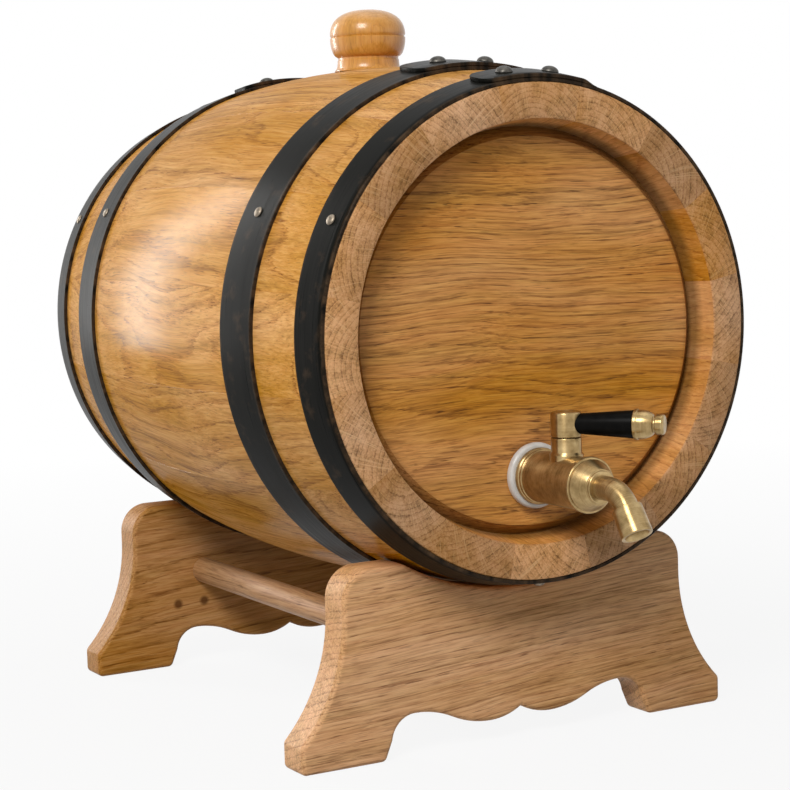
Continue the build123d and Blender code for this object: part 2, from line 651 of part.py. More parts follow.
def make_lever():
    with BuildPart() as hub:
        with BuildSketch(VALVE.offset(HUB_BASE)):
            Circle(HUB_RADIUS)
        extrude(amount=HUB_TOP - HUB_BASE)
        fillet(hub.edges().sort_by(Axis.Z)[-1], HUB_ROUNDING)
        stem_socket = ring(VALVE, 0, STEM_RADIUS + FIT, HUB_BASE, STEM_TOP + FIT)
        revolve(stem_socket, axis=turning_axis(VALVE), mode=Mode.SUBTRACT)
        stud_hole = ring(LEVER, 0, STUD_RADIUS + FIT, STUD_START - FIT, HUB_RADIUS)
        revolve(stud_hole, axis=turning_axis(LEVER), mode=Mode.SUBTRACT)
        screw_hole = ring(LEVER, 0, GRUB_SCREW_RADIUS + FIT, -HUB_RADIUS, 0)
        revolve(screw_hole, axis=turning_axis(LEVER), mode=Mode.SUBTRACT)
    keep(hub, "lever_hub")

    screw_tip = -STEM_RADIUS - FIT
    screw_end = screw_tip - GRUB_SCREW_LENGTH
    with BuildPart() as screw:
        revolve(ring(LEVER, 0, GRUB_SCREW_RADIUS, screw_end, screw_tip), axis=turning_axis(LEVER))
        with BuildSketch(LEVER.offset(screw_end)):
            RegularPolygon(GRUB_SOCKET_RADIUS, 6)
        extrude(amount=GRUB_SOCKET_DEPTH, mode=Mode.SUBTRACT)
    keep(screw, "hub_grub_screw")

    with BuildPart() as stud:
        revolve(ring(LEVER, 0, STUD_RADIUS, STUD_START, STUD_END), axis=turning_axis(LEVER))
    keep(stud, "lever_stud")

    with BuildPart() as grip:
        taper = turned(
            LEVER,
            (STUD_RADIUS + FIT, 0),
            (GRIP_START_RADIUS, 0),
            (GRIP_END_RADIUS, GRIP_REACH),
            (STUD_RADIUS + FIT, GRIP_REACH),
        )
        revolve(taper, axis=turning_axis(LEVER))
        circles = grip.edges().filter_by(GeomType.CIRCLE)
        fillet(circles.sort_by(SortBy.RADIUS)[-1], GRIP_ROUNDING)
        # The inner end is hollowed to sit against the round hub
        hub_space = ring(VALVE, 0, HUB_RADIUS + FIT, HUB_BASE, HUB_TOP)
        revolve(hub_space, axis=turning_axis(VALVE), mode=Mode.SUBTRACT)
    keep(grip, "lever_grip")

    dome_start = GRIP_REACH + CAP_RIM_WIDTH
    dome_end = dome_start + CAP_DOME_LENGTH
    button_start = dome_end + CAP_NECK_LENGTH
    button_end = button_start + BUTTON_LENGTH
    with BuildPart() as cap:
        with BuildSketch(turning_plane(LEVER)):
            with BuildLine():
                TangentArc((CAP_RIM_RADIUS, dome_start), (CAP_NECK_RADIUS, dome_end), tangent=(0, 1))
                Polyline(
                    (CAP_NECK_RADIUS, dome_end),
                    (CAP_NECK_RADIUS, button_start),
                    (BUTTON_RADIUS, button_start),
                    (BUTTON_RADIUS, button_end),
                    (0, button_end),
                    (0, STUD_END + FIT),
                    (STUD_RADIUS + FIT, STUD_END + FIT),
                    (STUD_RADIUS + FIT, GRIP_REACH),
                    (CAP_RIM_RADIUS, GRIP_REACH),
                    (CAP_RIM_RADIUS, dome_start),
                )
            make_face()
        revolve(axis=turning_axis(LEVER))
        circles = cap.edges().filter_by(GeomType.CIRCLE)
        fillet(circles.filter_by(lambda edge: abs(edge.radius - BUTTON_RADIUS) < FIT), BUTTON_ROUNDING)
    keep(cap, "lever_end_cap")


def board_outline(base):
    """The shape of a stand board: saddle, shoulders, swept feet and a bracketed lower edge."""
    horn = (HORN_HALF_WIDTH, SHOULDER_HEIGHT)
    waist = HORN_HALF_WIDTH + SHOULDER_WIDTH
    waist_top = SHOULDER_HEIGHT - SHOULDER_ROUNDING
    waist_foot = waist_top - WAIST_RUN
    foot = waist + (waist_foot - FOOT_HEIGHT) * tan(radians(FLARE_SWEEP / 2))
    foot_inner = foot - FOOT_WIDTH
    spring = (foot_inner - ARCH_LEAN, ARCH_SPRING_HEIGHT)
    arch_top = (foot_inner - ARCH_LEAN - ARCH_CORNER_WIDTH, ARCH_TOP_HEIGHT)
    lobe = (LOBE_HALF_WIDTH, LOBE_HEIGHT)
    wave = ((arch_top[0] + lobe[0]) / 2, (arch_top[1] + lobe[1]) / 2)
    with BuildSketch(base) as outline:
        with BuildLine():
            TangentArc((0, SADDLE_HEIGHT), horn, tangent=(1, 0))
            Line(horn, (waist - SHOULDER_ROUNDING, SHOULDER_HEIGHT))
            TangentArc((waist - SHOULDER_ROUNDING, SHOULDER_HEIGHT), (waist, waist_top), tangent=(1, 0))
            Line((waist, waist_top), (waist, waist_foot))
            TangentArc((waist, waist_foot), (foot, FOOT_HEIGHT), tangent=(0, -1))
            Polyline((foot, FOOT_HEIGHT), (foot, 0), (foot_inner, 0), spring)
            TangentArc(arch_top, spring, tangent=(1, 0))
            TangentArc(arch_top, wave, tangent=(-1, 0))
            TangentArc(lobe, wave, tangent=(1, 0))
            TangentArc(lobe, (0, CUSP_HEIGHT), tangent=(-1, 0))
            mirror(about=Plane.YZ)
        make_face()
        horns = outline.vertices().filter_by(lambda v: abs(abs(v.X) - HORN_HALF_WIDTH) < FIT)
        fillet(horns, HORN_ROUNDING)
        low = outline.vertices().filter_by(lambda v: v.Y < FOOT_HEIGHT + FIT)
        fillet(low.filter_by(lambda v: abs(v.X) > foot_inner - FIT), FOOT_ROUNDING)
    return outline.sketch


def make_stand():
    spread = HORN_HALF_WIDTH - STRETCHER_INSET
    height = SADDLE_HEIGHT - STRETCHER_DROP
    sockets = [(-spread, height), (spread, height)]
    for end, side in ENDS.items():
        inner_face = Plane(
            origin=(0, CASK_CENTRE.Y + side * BOARD_INNER, 0), x_dir=(-side, 0, 0), z_dir=(0, side, 0)
        )
        with BuildPart() as board:
            extrude(board_outline(inner_face), amount=BOARD_THICKNESS)
            fillet(board.faces().filter_by(Axis.Y).edges(), BOARD_ROUNDING)
            with BuildSketch(inner_face):
                with Locations(*sockets):
                    Circle(STRETCHER_RADIUS + FIT)
            extrude(amount=STRETCHER_SOCKET + FIT, mode=Mode.SUBTRACT)
        keep(board, f"stand_{end}_board")
    half_length = BOARD_INNER + STRETCHER_SOCKET
    for end, across in {"left": -1, "right": 1}.items():
        middle = (across * spread, CASK_CENTRE.Y, height)
        with BuildPart() as stretcher:
            with BuildSketch(Plane(origin=middle, z_dir=(0, 1, 0))):
                Circle(STRETCHER_RADIUS)
            extrude(amount=half_length, both=True)
        keep(stretcher, f"stand_{end}_stretcher")


os.makedirs("parts", exist_ok=True)
make_staves()
make_heads()
make_hoops()
make_hoop_nails()
make_bung()
make_tap_body()
make_tap_fixings()
make_spout()
make_valve()
make_lever()
make_stand()
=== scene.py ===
# %% [markdown]
# # A small oak cask in its cradle, with a brass tap and a bung
# The solids of the cask come in as a fixed frame, in metres. This lesson dresses them: it gives the
# wood its grain, the hoops their rubbed black steel and the tap its brushed brass, and then it lights
# the cask as a photographer would on a white table. X is to the right seen from the tap, Y runs from
# the tap to the back and Z is up.

# %% Load the frame
import json
from math import atan2, cos, pi, radians, sin, sqrt, tan

import bmesh
import bpy
import numpy as np
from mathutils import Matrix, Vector

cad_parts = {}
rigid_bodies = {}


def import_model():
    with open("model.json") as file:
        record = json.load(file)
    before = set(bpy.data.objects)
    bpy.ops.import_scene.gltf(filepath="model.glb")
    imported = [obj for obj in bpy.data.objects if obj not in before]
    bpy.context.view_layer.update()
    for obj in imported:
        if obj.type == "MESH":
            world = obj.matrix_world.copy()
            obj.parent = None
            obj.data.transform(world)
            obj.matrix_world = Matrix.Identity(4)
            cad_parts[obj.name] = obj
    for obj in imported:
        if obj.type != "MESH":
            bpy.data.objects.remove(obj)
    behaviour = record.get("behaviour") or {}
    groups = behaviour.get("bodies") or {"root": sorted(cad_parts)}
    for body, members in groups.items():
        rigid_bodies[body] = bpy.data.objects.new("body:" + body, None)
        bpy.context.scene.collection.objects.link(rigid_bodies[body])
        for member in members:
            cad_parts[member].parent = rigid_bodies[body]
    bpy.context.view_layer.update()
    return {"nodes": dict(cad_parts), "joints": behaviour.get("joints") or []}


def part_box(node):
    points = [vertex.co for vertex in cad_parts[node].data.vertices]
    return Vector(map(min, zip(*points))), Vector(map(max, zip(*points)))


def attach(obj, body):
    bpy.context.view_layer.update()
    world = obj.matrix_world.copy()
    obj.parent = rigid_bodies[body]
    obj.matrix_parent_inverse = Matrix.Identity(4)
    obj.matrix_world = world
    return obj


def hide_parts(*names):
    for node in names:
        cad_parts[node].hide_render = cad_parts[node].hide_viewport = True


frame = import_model()
MM = 0.001

# %% [markdown]
# ## Where things are
# Everything on a cask is measured from the middle of its axis. The staves give that point along Y,
# and the middle board of the head gives it in height. The tap and the lever are placed in the same
# way, from the washer and from the joint that the lever turns on, so nothing has to be fitted by eye.

# %% Find the cask, the tap and the lever
stave_low, stave_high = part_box("stave_05")
head_low, head_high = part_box("front_head_middle_board")
washer_low, washer_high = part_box("tap_outer_washer")
lever_joint = next(joint for joint in frame["joints"] if joint["name"] == "tap_lever_turn")
CASK = Vector((0, (stave_low.y + stave_high.y) / 2, (head_low.z + head_high.z) / 2))
HALF_LENGTH = (stave_high.y - stave_low.y) / 2
TAP = Vector((0, head_low.y, (washer_low.z + washer_high.z) / 2))
VALVE = Vector(lever_joint["pos_m"])
AHEAD = Vector((0, -1, 0))
UP = Vector((0, 0, 1))
LEVER_ANGLE = radians(40)
LEVER_WAY = Vector((sin(LEVER_ANGLE), -cos(LEVER_ANGLE), 0))
LEVER_RISE = 26.6
LEVER = VALVE + UP * LEVER_RISE * MM
print("cask", CASK[:], "tap", TAP[:], "valve", VALVE[:])

# %% [markdown]
# ## Small tools for node trees
# Materials and Geometry Nodes are both trees of nodes joined by links. One helper adds a node and
# plugs in its inputs, either with a link or with a plain value, and a few more name the sums that
# turn up again and again. Some nodes hold several sockets of one name and show only one of them, so
# sockets are looked up among those that are in use.

# %% Nodes and sums
def plug(sockets, key):
    if isinstance(key, int):
        return sockets[key]
    return next(each for each in sockets if each.name == key and each.enabled)


def add(tree, kind, inputs=None, **settings):
    node = tree.nodes.new(kind)
    for name, value in settings.items():
        setattr(node, name, value)
    for key, value in (inputs or {}).items():
        target = plug(node.inputs, key)
        if isinstance(value, bpy.types.NodeSocket):
            tree.links.new(value, target)
        else:
            target.default_value = value
    return node


def made(tree, kind, inputs=None, **settings):
    """Add a node and give its first output."""
    return add(tree, kind, inputs, **settings).outputs[0]


def calc(tree, operation, *values):
    return made(tree, "ShaderNodeMath", dict(enumerate(values)), operation=operation)


def times(tree, first, second):
    return calc(tree, "MULTIPLY", first, second)


def vector_calc(tree, operation, *values):
    return made(tree, "ShaderNodeVectorMath", dict(enumerate(values)), operation=operation)


def scaled(tree, vector, by):
    return vector_calc(tree, "MULTIPLY", vector, by)


def join(tree, x=0.0, y=0.0, z=0.0):
    return made(tree, "ShaderNodeCombineXYZ", {"X": x, "Y": y, "Z": z})


def split(tree, vector):
    return add(tree, "ShaderNodeSeparateXYZ", {"Vector": vector}).outputs


def length(tree, vector):
    return add(tree, "ShaderNodeVectorMath", {0: vector}, operation="LENGTH").outputs["Value"]


def from_line(tree, x, z):
    """How far a place is from a line along the third direction."""
    return length(tree, join(tree, x, 0.0, z))


def level(tree, value, low, high, to_low=0.0, to_high=1.0):
    inputs = {"Value": value, "From Min": low, "From Max": high, "To Min": to_low, "To Max": to_high}
    return made(tree, "ShaderNodeMapRange", inputs)


print("sums ready")

# %% Noise, colour and the material to start from
TO_MM = (1000, 1000, 1000)


def noise(tree, vector, detail=2.0, roughness=0.5, output="Fac"):
    inputs = {"Vector": vector, "Scale": 1.0, "Detail": detail, "Roughness": roughness}
    return add(tree, "ShaderNodeTexNoise", inputs).outputs[output]


def spread(tree, pattern, low, high):
    """A noise, most of which lies between 0.3 and 0.7, spread over a range of values."""
    return level(tree, pattern, 0.3, 0.7, low, high)


def attribute(tree, name, output="Vector"):
    return add(tree, "ShaderNodeAttribute", attribute_name=name).outputs[output]


def millimetres(tree):
    """The surface's own place on the piece, in millimetres."""
    return scaled(tree, add(tree, "ShaderNodeTexCoord").outputs["Object"], TO_MM)


def mottle(tree, scale, detail=4.0):
    """Noise on the piece's own place. The scale is how many spots go to a millimetre."""
    return noise(tree, scaled(tree, millimetres(tree), (scale, scale, scale)), detail, 0.6)


def ramp(tree, factor, *stops):
    node = add(tree, "ShaderNodeValToRGB", {"Fac": factor})
    elements = node.color_ramp.elements
    elements.remove(elements[1])
    elements[0].position = stops[0][0]
    elements[0].color = (*stops[0][1], 1)
    for position, colour in stops[1:]:
        elements.new(position).color = (*colour, 1)
    return node.outputs["Color"]


def mix(tree, factor, first, second):
    inputs = {"Factor": factor, "A": first, "B": second}
    return plug(add(tree, "ShaderNodeMix", inputs, data_type="RGBA").outputs, "Result")


def new_finish(name, **sockets):
    """A material with one Principled shader, whose steady values are set on its own sockets."""
    material = bpy.data.materials.new(name)
    material.use_nodes = True
    tree = material.node_tree
    shader = next(node for node in tree.nodes if node.type == "BSDF_PRINCIPLED")
    for key, value in sockets.items():
        shader.inputs[key.replace("_", " ")].default_value = value
    return material, tree, shader


def paint(tree, shader, colour, roughness):
    tree.links.new(colour, shader.inputs["Base Color"])
    tree.links.new(roughness, shader.inputs["Roughness"])


def emboss(tree, shader, height, strength, distance):
    inputs = {"Height": height, "Strength": strength, "Distance": distance}
    tree.links.new(made(tree, "ShaderNodeBump", inputs), shader.inputs["Normal"])


print("material helpers ready")

# %% [markdown]
# ## Oak, as a solid
# Wood is not a picture stuck on a face: the same growth rings make arches on a flat side, stripes on a
# quartered side and arcs on an end. So the grain here is worked out in the solid. Every wooden piece
# stores where each point lies in its log: x across, y along the fibre and z out from the pith, in
# metres. Rings are the distance from the pith, wandering slowly along the log. Pores are short dark
# dashes along the fibre, thickest in the first wood of each year, and rays are thin plates that stand
# out from the pith, so they are flecks on a side and fine pale lines on an end.

# %% The oak figure, as a node group
OAK_INPUTS = ("Ring width", "Wander", "Fibre run", "Ring share", "Fibre share", "Band share")
OAK_OUTPUTS = ("Figure", "Fibre", "Bands", "Pores", "Rays", "Patch")
# How often each part of the figure comes back in a millimetre: across, along and out
DRIFT = (0.016, 0.006, 0.016)
RAGGED = (0.8, 0.05, 0.8)
BROAD = (0.17, 0.006, 0.17)
DASHES = (2.1, 0.075, 2.1)
PATCHES = (0.02, 0.006, 0.02)
# The same for good and lean years, out from the pith, and for rays, round it, along it and out from it
GOOD_YEARS = 0.13
RAY_TURN, RAY_ALONG, RAY_OUT = 95.0, 0.09, 0.035
# How dark the wood is through a year, from the first wood of spring to the last of autumn
SEASONS = ((0, 1.0), (0.06, 0.8), (0.15, 0.35), (0.35, 0.12), (0.95, 0.0), (1, 1.0))
MIDDLE_FIGURE = 0.38


def oak_group():
    tree = bpy.data.node_groups.new("oak_figure", "ShaderNodeTree")
    faces = tree.interface
    faces.new_socket("Grain", in_out="INPUT", socket_type="NodeSocketVector")
    for way, names in (("INPUT", OAK_INPUTS), ("OUTPUT", OAK_OUTPUTS)):
        for name in names:
            faces.new_socket(name, in_out=way, socket_type="NodeSocketFloat")
    given = add(tree, "NodeGroupInput").outputs
    log = scaled(tree, given["Grain"], TO_MM)
    drift = noise(tree, scaled(tree, log, DRIFT), 2.0, output="Color")
    drift = vector_calc(tree, "SUBTRACT", drift, (0.5, 0.5, 0.5))
    wander = join(tree, given["Wander"], 0.0, given["Wander"])
    bent = vector_calc(tree, "ADD", log, scaled(tree, drift, wander))
    x, y, z = split(tree, bent)
    from_pith = from_line(tree, x, z)
    uneven = noise(tree, join(tree, times(tree, from_pith, GOOD_YEARS)), 1.0)
    ragged = noise(tree, scaled(tree, bent, RAGGED), 3.0, 0.6)
    years = calc(tree, "DIVIDE", from_pith, given["Ring width"])
    years = calc(tree, "MULTIPLY_ADD", uneven, 2.4, years)
    years = calc(tree, "MULTIPLY_ADD", ragged, 0.45, years)
    ring = ramp(tree, calc(tree, "FRACT", years), *[(place, (dark,) * 3) for place, dark in SEASONS])
    run = join(tree, 1.0, calc(tree, "DIVIDE", 1.0, given["Fibre run"]), 1.0)
    fibre = noise(tree, scaled(tree, bent, run), 5.0, 0.62)
    bands = noise(tree, scaled(tree, bent, BROAD), 2.0)
    dashes = noise(tree, scaled(tree, bent, DASHES), 1.0)
    early = level(tree, ring, 0.0, 0.8, 0.35, 1.0)
    pores = times(tree, level(tree, dashes, 0.59, 0.68), early)
    turn = times(tree, calc(tree, "ARCTAN2", x, z), RAY_TURN)
    plates = join(tree, turn, times(tree, y, RAY_ALONG), times(tree, from_pith, RAY_OUT))
    rays = level(tree, noise(tree, plates, 1.0), 0.58, 0.7)
    patch = noise(tree, scaled(tree, log, PATCHES), 2.0)
    figure = MIDDLE_FIGURE
    parts = ((ring, 0.2, "Ring share"), (fibre, 0.5, "Fibre share"), (bands, 0.5, "Band share"))
    for part, middle, share in parts:
        figure = calc(tree, "MULTIPLY_ADD", calc(tree, "SUBTRACT", part, middle), given[share], figure)
    add(tree, "NodeGroupOutput", dict(zip(OAK_OUTPUTS, (figure, fibre, bands, pores, rays, patch))))
    return tree


oak_figure = oak_group()
print("oak figure:", len(oak_figure.nodes), "nodes")

# %% [markdown]
# ## Many finishes of one timber
# The staves are honey gold under a satin varnish, the heads are a deeper golden brown with painted shade
# round their edges, the ends of the staves are pinkish brown with pale rays, and the wall behind them is gold
# with painted shade darkening it towards the head.
# The stand is a paler, redder wood with two knots in its rear board, and the bung is glossier. The rear
# board is also painted darker and deeper in colour, as the shade under the cask lit by golden light from it.
# They share the figure and differ in their colours and in how much of it comes from rings, fibres and broad
# bands, so each finish is a short list of values. The pores darken the colour. A slow patchiness and the
# piece's own tone shift it a little up or down, and the patches differ in depth of colour too.

# %% How an oak finish is mixed
OAK_COLOURS = {
    "stave_oak": (
        (0.7, 0.395, 0.12), (0.57, 0.28, 0.068), (0.27, 0.108, 0.024), (0.16, 0.06, 0.013), (0.68, 0.4, 0.14),
    ),
    "wall_oak": (
        (0.72, 0.37, 0.09), (0.58, 0.255, 0.046), (0.3, 0.105, 0.016), (0.18, 0.06, 0.01), (0.68, 0.37, 0.1),
    ),
    "rim_oak": (
        (0.65, 0.36, 0.14), (0.525, 0.258, 0.083), (0.19, 0.075, 0.02), (0.1, 0.037, 0.009),
        (0.68, 0.4, 0.17),
    ),
    "head_oak": (
        (0.7, 0.345, 0.073), (0.555, 0.245, 0.045), (0.2, 0.073, 0.013), (0.1, 0.036, 0.007),
        (0.67, 0.34, 0.08),
    ),
    "stand_oak": (
        (0.76, 0.46, 0.22), (0.62, 0.338, 0.148), (0.26, 0.113, 0.04), (0.14, 0.057, 0.02), (0.7, 0.42, 0.2),
    ),
    "bung_oak": (
        (0.78, 0.43, 0.115), (0.64, 0.305, 0.06), (0.36, 0.14, 0.022), (0.27, 0.1, 0.015), (0.72, 0.38, 0.09),
    ),
}
OAK_COLOURS["rear_board_oak"] = OAK_COLOURS["stand_oak"]
KNOT_CORE, KNOT_EDGE = 1.6, 3.4


def oak_finish(name, shares, sizes, rough, tones, painted_shade=None, knots=(), depths=(1.06, 0.84), **sockets):
    """Shares are of ring, fibre, band, pores and rays. Sizes are the width of a ring, how far the grain
    wanders and how far a fibre runs, in millimetres. Tones are how light the darkest and the lightest piece
    are. A painted shade is a direction, out from the axis of the cask or along it from the middle, two
    distances that way between which the wood is painted darker, as the shade in the recess between the head
    and the stave ends, and how dark it becomes. Knots are places across and up, where a small branch ran
    through the board. Depths are how strong the colour is in the deepest and in the palest patches. The
    colours, from the list above, are light, middle, dark, pore and ray."""
    material, tree, shader = new_finish(name, **sockets)
    light, middle, dark, pore, ray = OAK_COLOURS[name]
    figure = add(tree, "ShaderNodeGroup", node_tree=oak_figure)
    grain = vector_calc(tree, "ADD", attribute(tree, "grain"), attribute(tree, "shift"))
    tree.links.new(grain, figure.inputs["Grain"])
    for key, value in zip(OAK_INPUTS, (*sizes, *shares)):
        figure.inputs[key].default_value = value
    found = figure.outputs
    colour = ramp(tree, found["Figure"], (0.05, light), (0.4, middle), (0.95, dark))
    colour = mix(tree, times(tree, found["Rays"], shares[4]), colour, (*ray, 1))
    colour = mix(tree, times(tree, found["Pores"], shares[3]), colour, (*pore, 1))
    for across, high in knots:
        offset = vector_calc(tree, "SUBTRACT", millimetres(tree), (across, 0.0, high))
        aside = length(tree, scaled(tree, offset, (1, 0, 1)))
        colour = mix(tree, level(tree, aside, KNOT_CORE, KNOT_EDGE, 0.9, 0.0), colour, (*pore, 1))
    tone = level(tree, attribute(tree, "tone", "Fac"), -1.0, 1.0, *tones)
    value = times(tree, spread(tree, found["Patch"], 0.86, 1.12), tone)
    # Painted shade: the wood is painted darker towards the recess between the head and the stave ends, where
    # the rim casts shade.
    if painted_shade:
        way, start, end, darkest = painted_shade
        x, y, z = split(tree, vector_calc(tree, "SUBTRACT", millimetres(tree), CASK / MM))
        away = from_line(tree, x, z) if way == "out" else calc(tree, "ABSOLUTE", y)
        value = times(tree, value, level(tree, away, start, end, 1.0, darkest))
    hue = spread(tree, found["Bands"], 0.493, 0.502)
    depth = spread(tree, found["Patch"], *depths)
    inputs = {"Hue": hue, "Saturation": depth, "Value": value, "Color": colour}
    toned = made(tree, "ShaderNodeHueSaturation", inputs)
    paint(tree, shader, toned, level(tree, found["Fibre"], 0.25, 0.75, rough - 0.05, rough + 0.08))
    height = calc(tree, "SUBTRACT", times(tree, found["Fibre"], 0.5), found["Pores"])
    emboss(tree, shader, height, 0.3, 0.25 * MM)
    return material


print("colours for", list(OAK_COLOURS))

# %% The oak finishes
stave_oak = oak_finish(
    "stave_oak", shares=(0.32, 1.4, 0.9, 0.8, 0.15), sizes=(5.0, 24.0, 45.0), rough=0.4, tones=(0.88, 1.07),
    depths=(1.15, 0.92), Specular_IOR_Level=0.0, Coat_Weight=0.22, Coat_Roughness=0.2,
)
# The wall is painted darker towards the head, as the shade deep in the recess.
wall_oak = oak_finish(
    "wall_oak", shares=(0.3, 1.2, 0.7, 0.5, 0.2), sizes=(3.0, 10.0, 30.0), rough=0.45, tones=(0.9, 1.06),
    painted_shade=("along", 152.5, 147.5, 0.5), Specular_IOR_Level=0.15,
)
rim_oak = oak_finish(
    "rim_oak", shares=(0.42, 1.5, 1.3, 0.35, 0.7), sizes=(2.7, 6.0, 40.0), rough=0.5, tones=(0.76, 1.16),
    Specular_IOR_Level=0.15,
)
# The head is painted darker round its edge, as the shade that the rim casts on it.
head_oak = oak_finish(
    "head_oak", shares=(0.4, 1.9, 0.5, 0.9, 0.2), sizes=(3.0, 18.0, 28.0), rough=0.42, tones=(0.95, 1.05),
    painted_shade=("out", 89.0, 97.0, 0.25), depths=(1.08, 0.88), Specular_IOR_Level=0.15,
)
stand_values = {
    "shares": (0.34, 1.75, 0.7, 0.8, 0.2), "sizes": (3.4, 12.0, 26.0), "rough": 0.45, "tones": (0.66, 1.1),
    "Specular_IOR_Level": 0.15,
}
rear_knots = ((-70.7, 35.2), (-54.7, 35.5))
stand_oak = oak_finish("stand_oak", depths=(1.1, 0.9), **stand_values)
# The rear board's deeper colour is painted golden light thrown back from the cask into the shade under it;
# its knots are real.
rear_board_oak = oak_finish("rear_board_oak", depths=(1.3, 1.08), knots=rear_knots, **stand_values)
bung_oak = oak_finish(
    "bung_oak", shares=(0.2, 0.8, 0.8, 0.3, 0.2), sizes=(2.4, 4.0, 30.0), rough=0.36, tones=(0.95, 1.05),
    Specular_IOR_Level=0.3, Coat_Weight=0.6, Coat_Roughness=0.2,
)
print("oak finishes: staves, stave ends and walls, heads, stand, bung")

# %% [markdown]
# ## Black steel, brass and the small finishes
# The hoops are strip steel with a satin black coat that has rubbed to brown along its edges, so their
# finish follows the strip: how far round it a point is and how far across. The brass is brushed on a
# lathe, so its fine lines run round each turned piece and stretch the highlights across them, and a slow
# tarnish moves it between pale and brown. The rest are a satin black grip, a milky washer, dark rivets,
# browned nails, rubber and steel.

# %% Hoop steel
def hoop_finish():
    material, tree, shader = new_finish("hoop_steel", Specular_IOR_Level=0.04)
    round_it, across = split(tree, attribute(tree, "strip"))[:2]
    arc = times(tree, round_it, 1000.0)
    streaks = noise(tree, join(tree, times(tree, arc, 0.02), times(tree, across, 9.0)), 4.0)
    chips = noise(tree, join(tree, times(tree, arc, 0.11), times(tree, across, 3.0)), 4.0, 0.7)
    blotches = mottle(tree, 0.09)
    black = ramp(tree, streaks, (0.3, (0.0025, 0.0027, 0.0022)), (0.7, (0.008, 0.0077, 0.0062)))
    brown = ramp(tree, blotches, (0.3, (0.05, 0.03, 0.017)), (0.7, (0.13, 0.078, 0.042)))
    near_edge = level(tree, calc(tree, "ABSOLUTE", across), 0.84, 1.0)
    rubbed = times(tree, near_edge, level(tree, chips, 0.38, 0.62))
    dusty = level(tree, blotches, 0.58, 0.75, 0.0, 0.22)
    wear = calc(tree, "MAXIMUM", times(tree, rubbed, 0.75), dusty)
    paint(tree, shader, mix(tree, wear, black, brown), spread(tree, streaks, 0.26, 0.44))
    emboss(tree, shader, blotches, 0.12, 0.3 * MM)
    return material


hoop_steel = hoop_finish()
print("finish:", hoop_steel.name)

# %% Brass
BRUSH = 5200.0
BRASS_TONES = ((0.25, (0.22, 0.145, 0.057)), (0.5, (0.39, 0.27, 0.122)), (0.75, (0.54, 0.4, 0.2)))


def brass_finish():
    sockets = {"Metallic": 0.95, "Anisotropic": 0.75, "Anisotropic_Rotation": 0.25}
    material, tree, shader = new_finish("brass", **sockets)
    along, out = split(tree, attribute(tree, "lathe"))[:2]
    lines = noise(tree, join(tree, times(tree, along, BRUSH), times(tree, out, BRUSH)), 3.0, 0.65)
    tarnish = mottle(tree, 0.16, 3.0)
    shade = calc(tree, "MULTIPLY_ADD", calc(tree, "SUBTRACT", lines, 0.5), 0.7, tarnish)
    paint(tree, shader, ramp(tree, shade, *BRASS_TONES), spread(tree, lines, 0.27, 0.38))
    brushed = made(tree, "ShaderNodeTangent", direction_type="UV_MAP", uv_map="turn")
    tree.links.new(brushed, shader.inputs["Tangent"])
    emboss(tree, shader, lines, 0.12, 0.05 * MM)
    return material


brass = brass_finish()
print("finish:", brass.name)

# %% Grip, washer, rubber, rivets, nails and small steel
def speckled_finish(name, first, second, scale, rough, bump, **sockets):
    """A plain material whose colour and polish vary a little from place to place."""
    material, tree, shader = new_finish(name, **sockets)
    specks = mottle(tree, scale)
    colour = ramp(tree, specks, (0.32, first), (0.68, second))
    paint(tree, shader, colour, spread(tree, specks, *rough))
    emboss(tree, shader, specks, bump, 0.05 * MM)
    return material


grip_black = speckled_finish(
    "grip_black", (0.003, 0.003, 0.003), (0.006, 0.0055, 0.005), 0.2, (0.28, 0.32), 0.01,
    Specular_IOR_Level=0.03,
)
washer_milk = speckled_finish("washer_milk", (0.5, 0.49, 0.47), (0.62, 0.61, 0.59), 0.15, (0.3, 0.4), 0.03)
seal_rubber = speckled_finish(
    "seal_rubber", (0.012, 0.012, 0.012), (0.03, 0.03, 0.03), 0.8, (0.6, 0.75), 0.15
)
rivet_pewter = speckled_finish(
    "rivet_pewter", (0.035, 0.034, 0.03), (0.11, 0.102, 0.09), 0.5, (0.34, 0.5), 0.3, Metallic=0.9
)
nail_steel = speckled_finish(
    "nail_steel", (0.12, 0.095, 0.07), (0.34, 0.28, 0.21), 0.7, (0.38, 0.52), 0.3, Metallic=0.8
)
screw_steel = speckled_finish(
    "screw_steel", (0.36, 0.36, 0.36), (0.52, 0.52, 0.51), 1.2, (0.25, 0.4), 0.1, Metallic=1.0
)
print("small finishes ready")

# %% [markdown]
# ## Small tools for meshes
# A turned piece is an outline of radius and height spun about an axis. Real corners are never quite
# sharp, and it is the little rounding on them that catches the light, so a corner of the outline may
# carry a radius. Other pieces start as a copy of a solid, with its loose triangles merged so that it
# can be shaded smoothly. A finished piece then rides on its body and stands for its solid.

# %% Mesh helpers
def make_mesh(name, points, faces):
    mesh = bpy.data.meshes.new(name)
    mesh.from_pydata([tuple(point) for point in points], [], faces)
    mesh.update()
    return mesh


def ring_faces(low, high, size):
    """Faces between two rings of points, each given by the number of its first point."""
    sides = [(index, (index + 1) % size) for index in range(size)]
    return [(low + here, low + after, high + after, high + here) for here, after in sides]


def give(mesh, name, values):
    """Store one vector, or one number, for each point of a mesh."""
    values = np.asarray(values, np.float32)
    kind, key = ("FLOAT", "value") if values.ndim == 1 else ("FLOAT_VECTOR", "vector")
    mesh.attributes.new(name, kind, "POINT").data.foreach_set(key, values.ravel())


def points_of(mesh):
    flat = np.zeros(len(mesh.vertices) * 3, np.float32)
    mesh.vertices.foreach_get("co", flat)
    return flat.reshape(-1, 3)


def smooth(mesh, angle=32):
    mesh.shade_smooth()
    mesh.set_sharp_from_angle(angle=radians(angle))


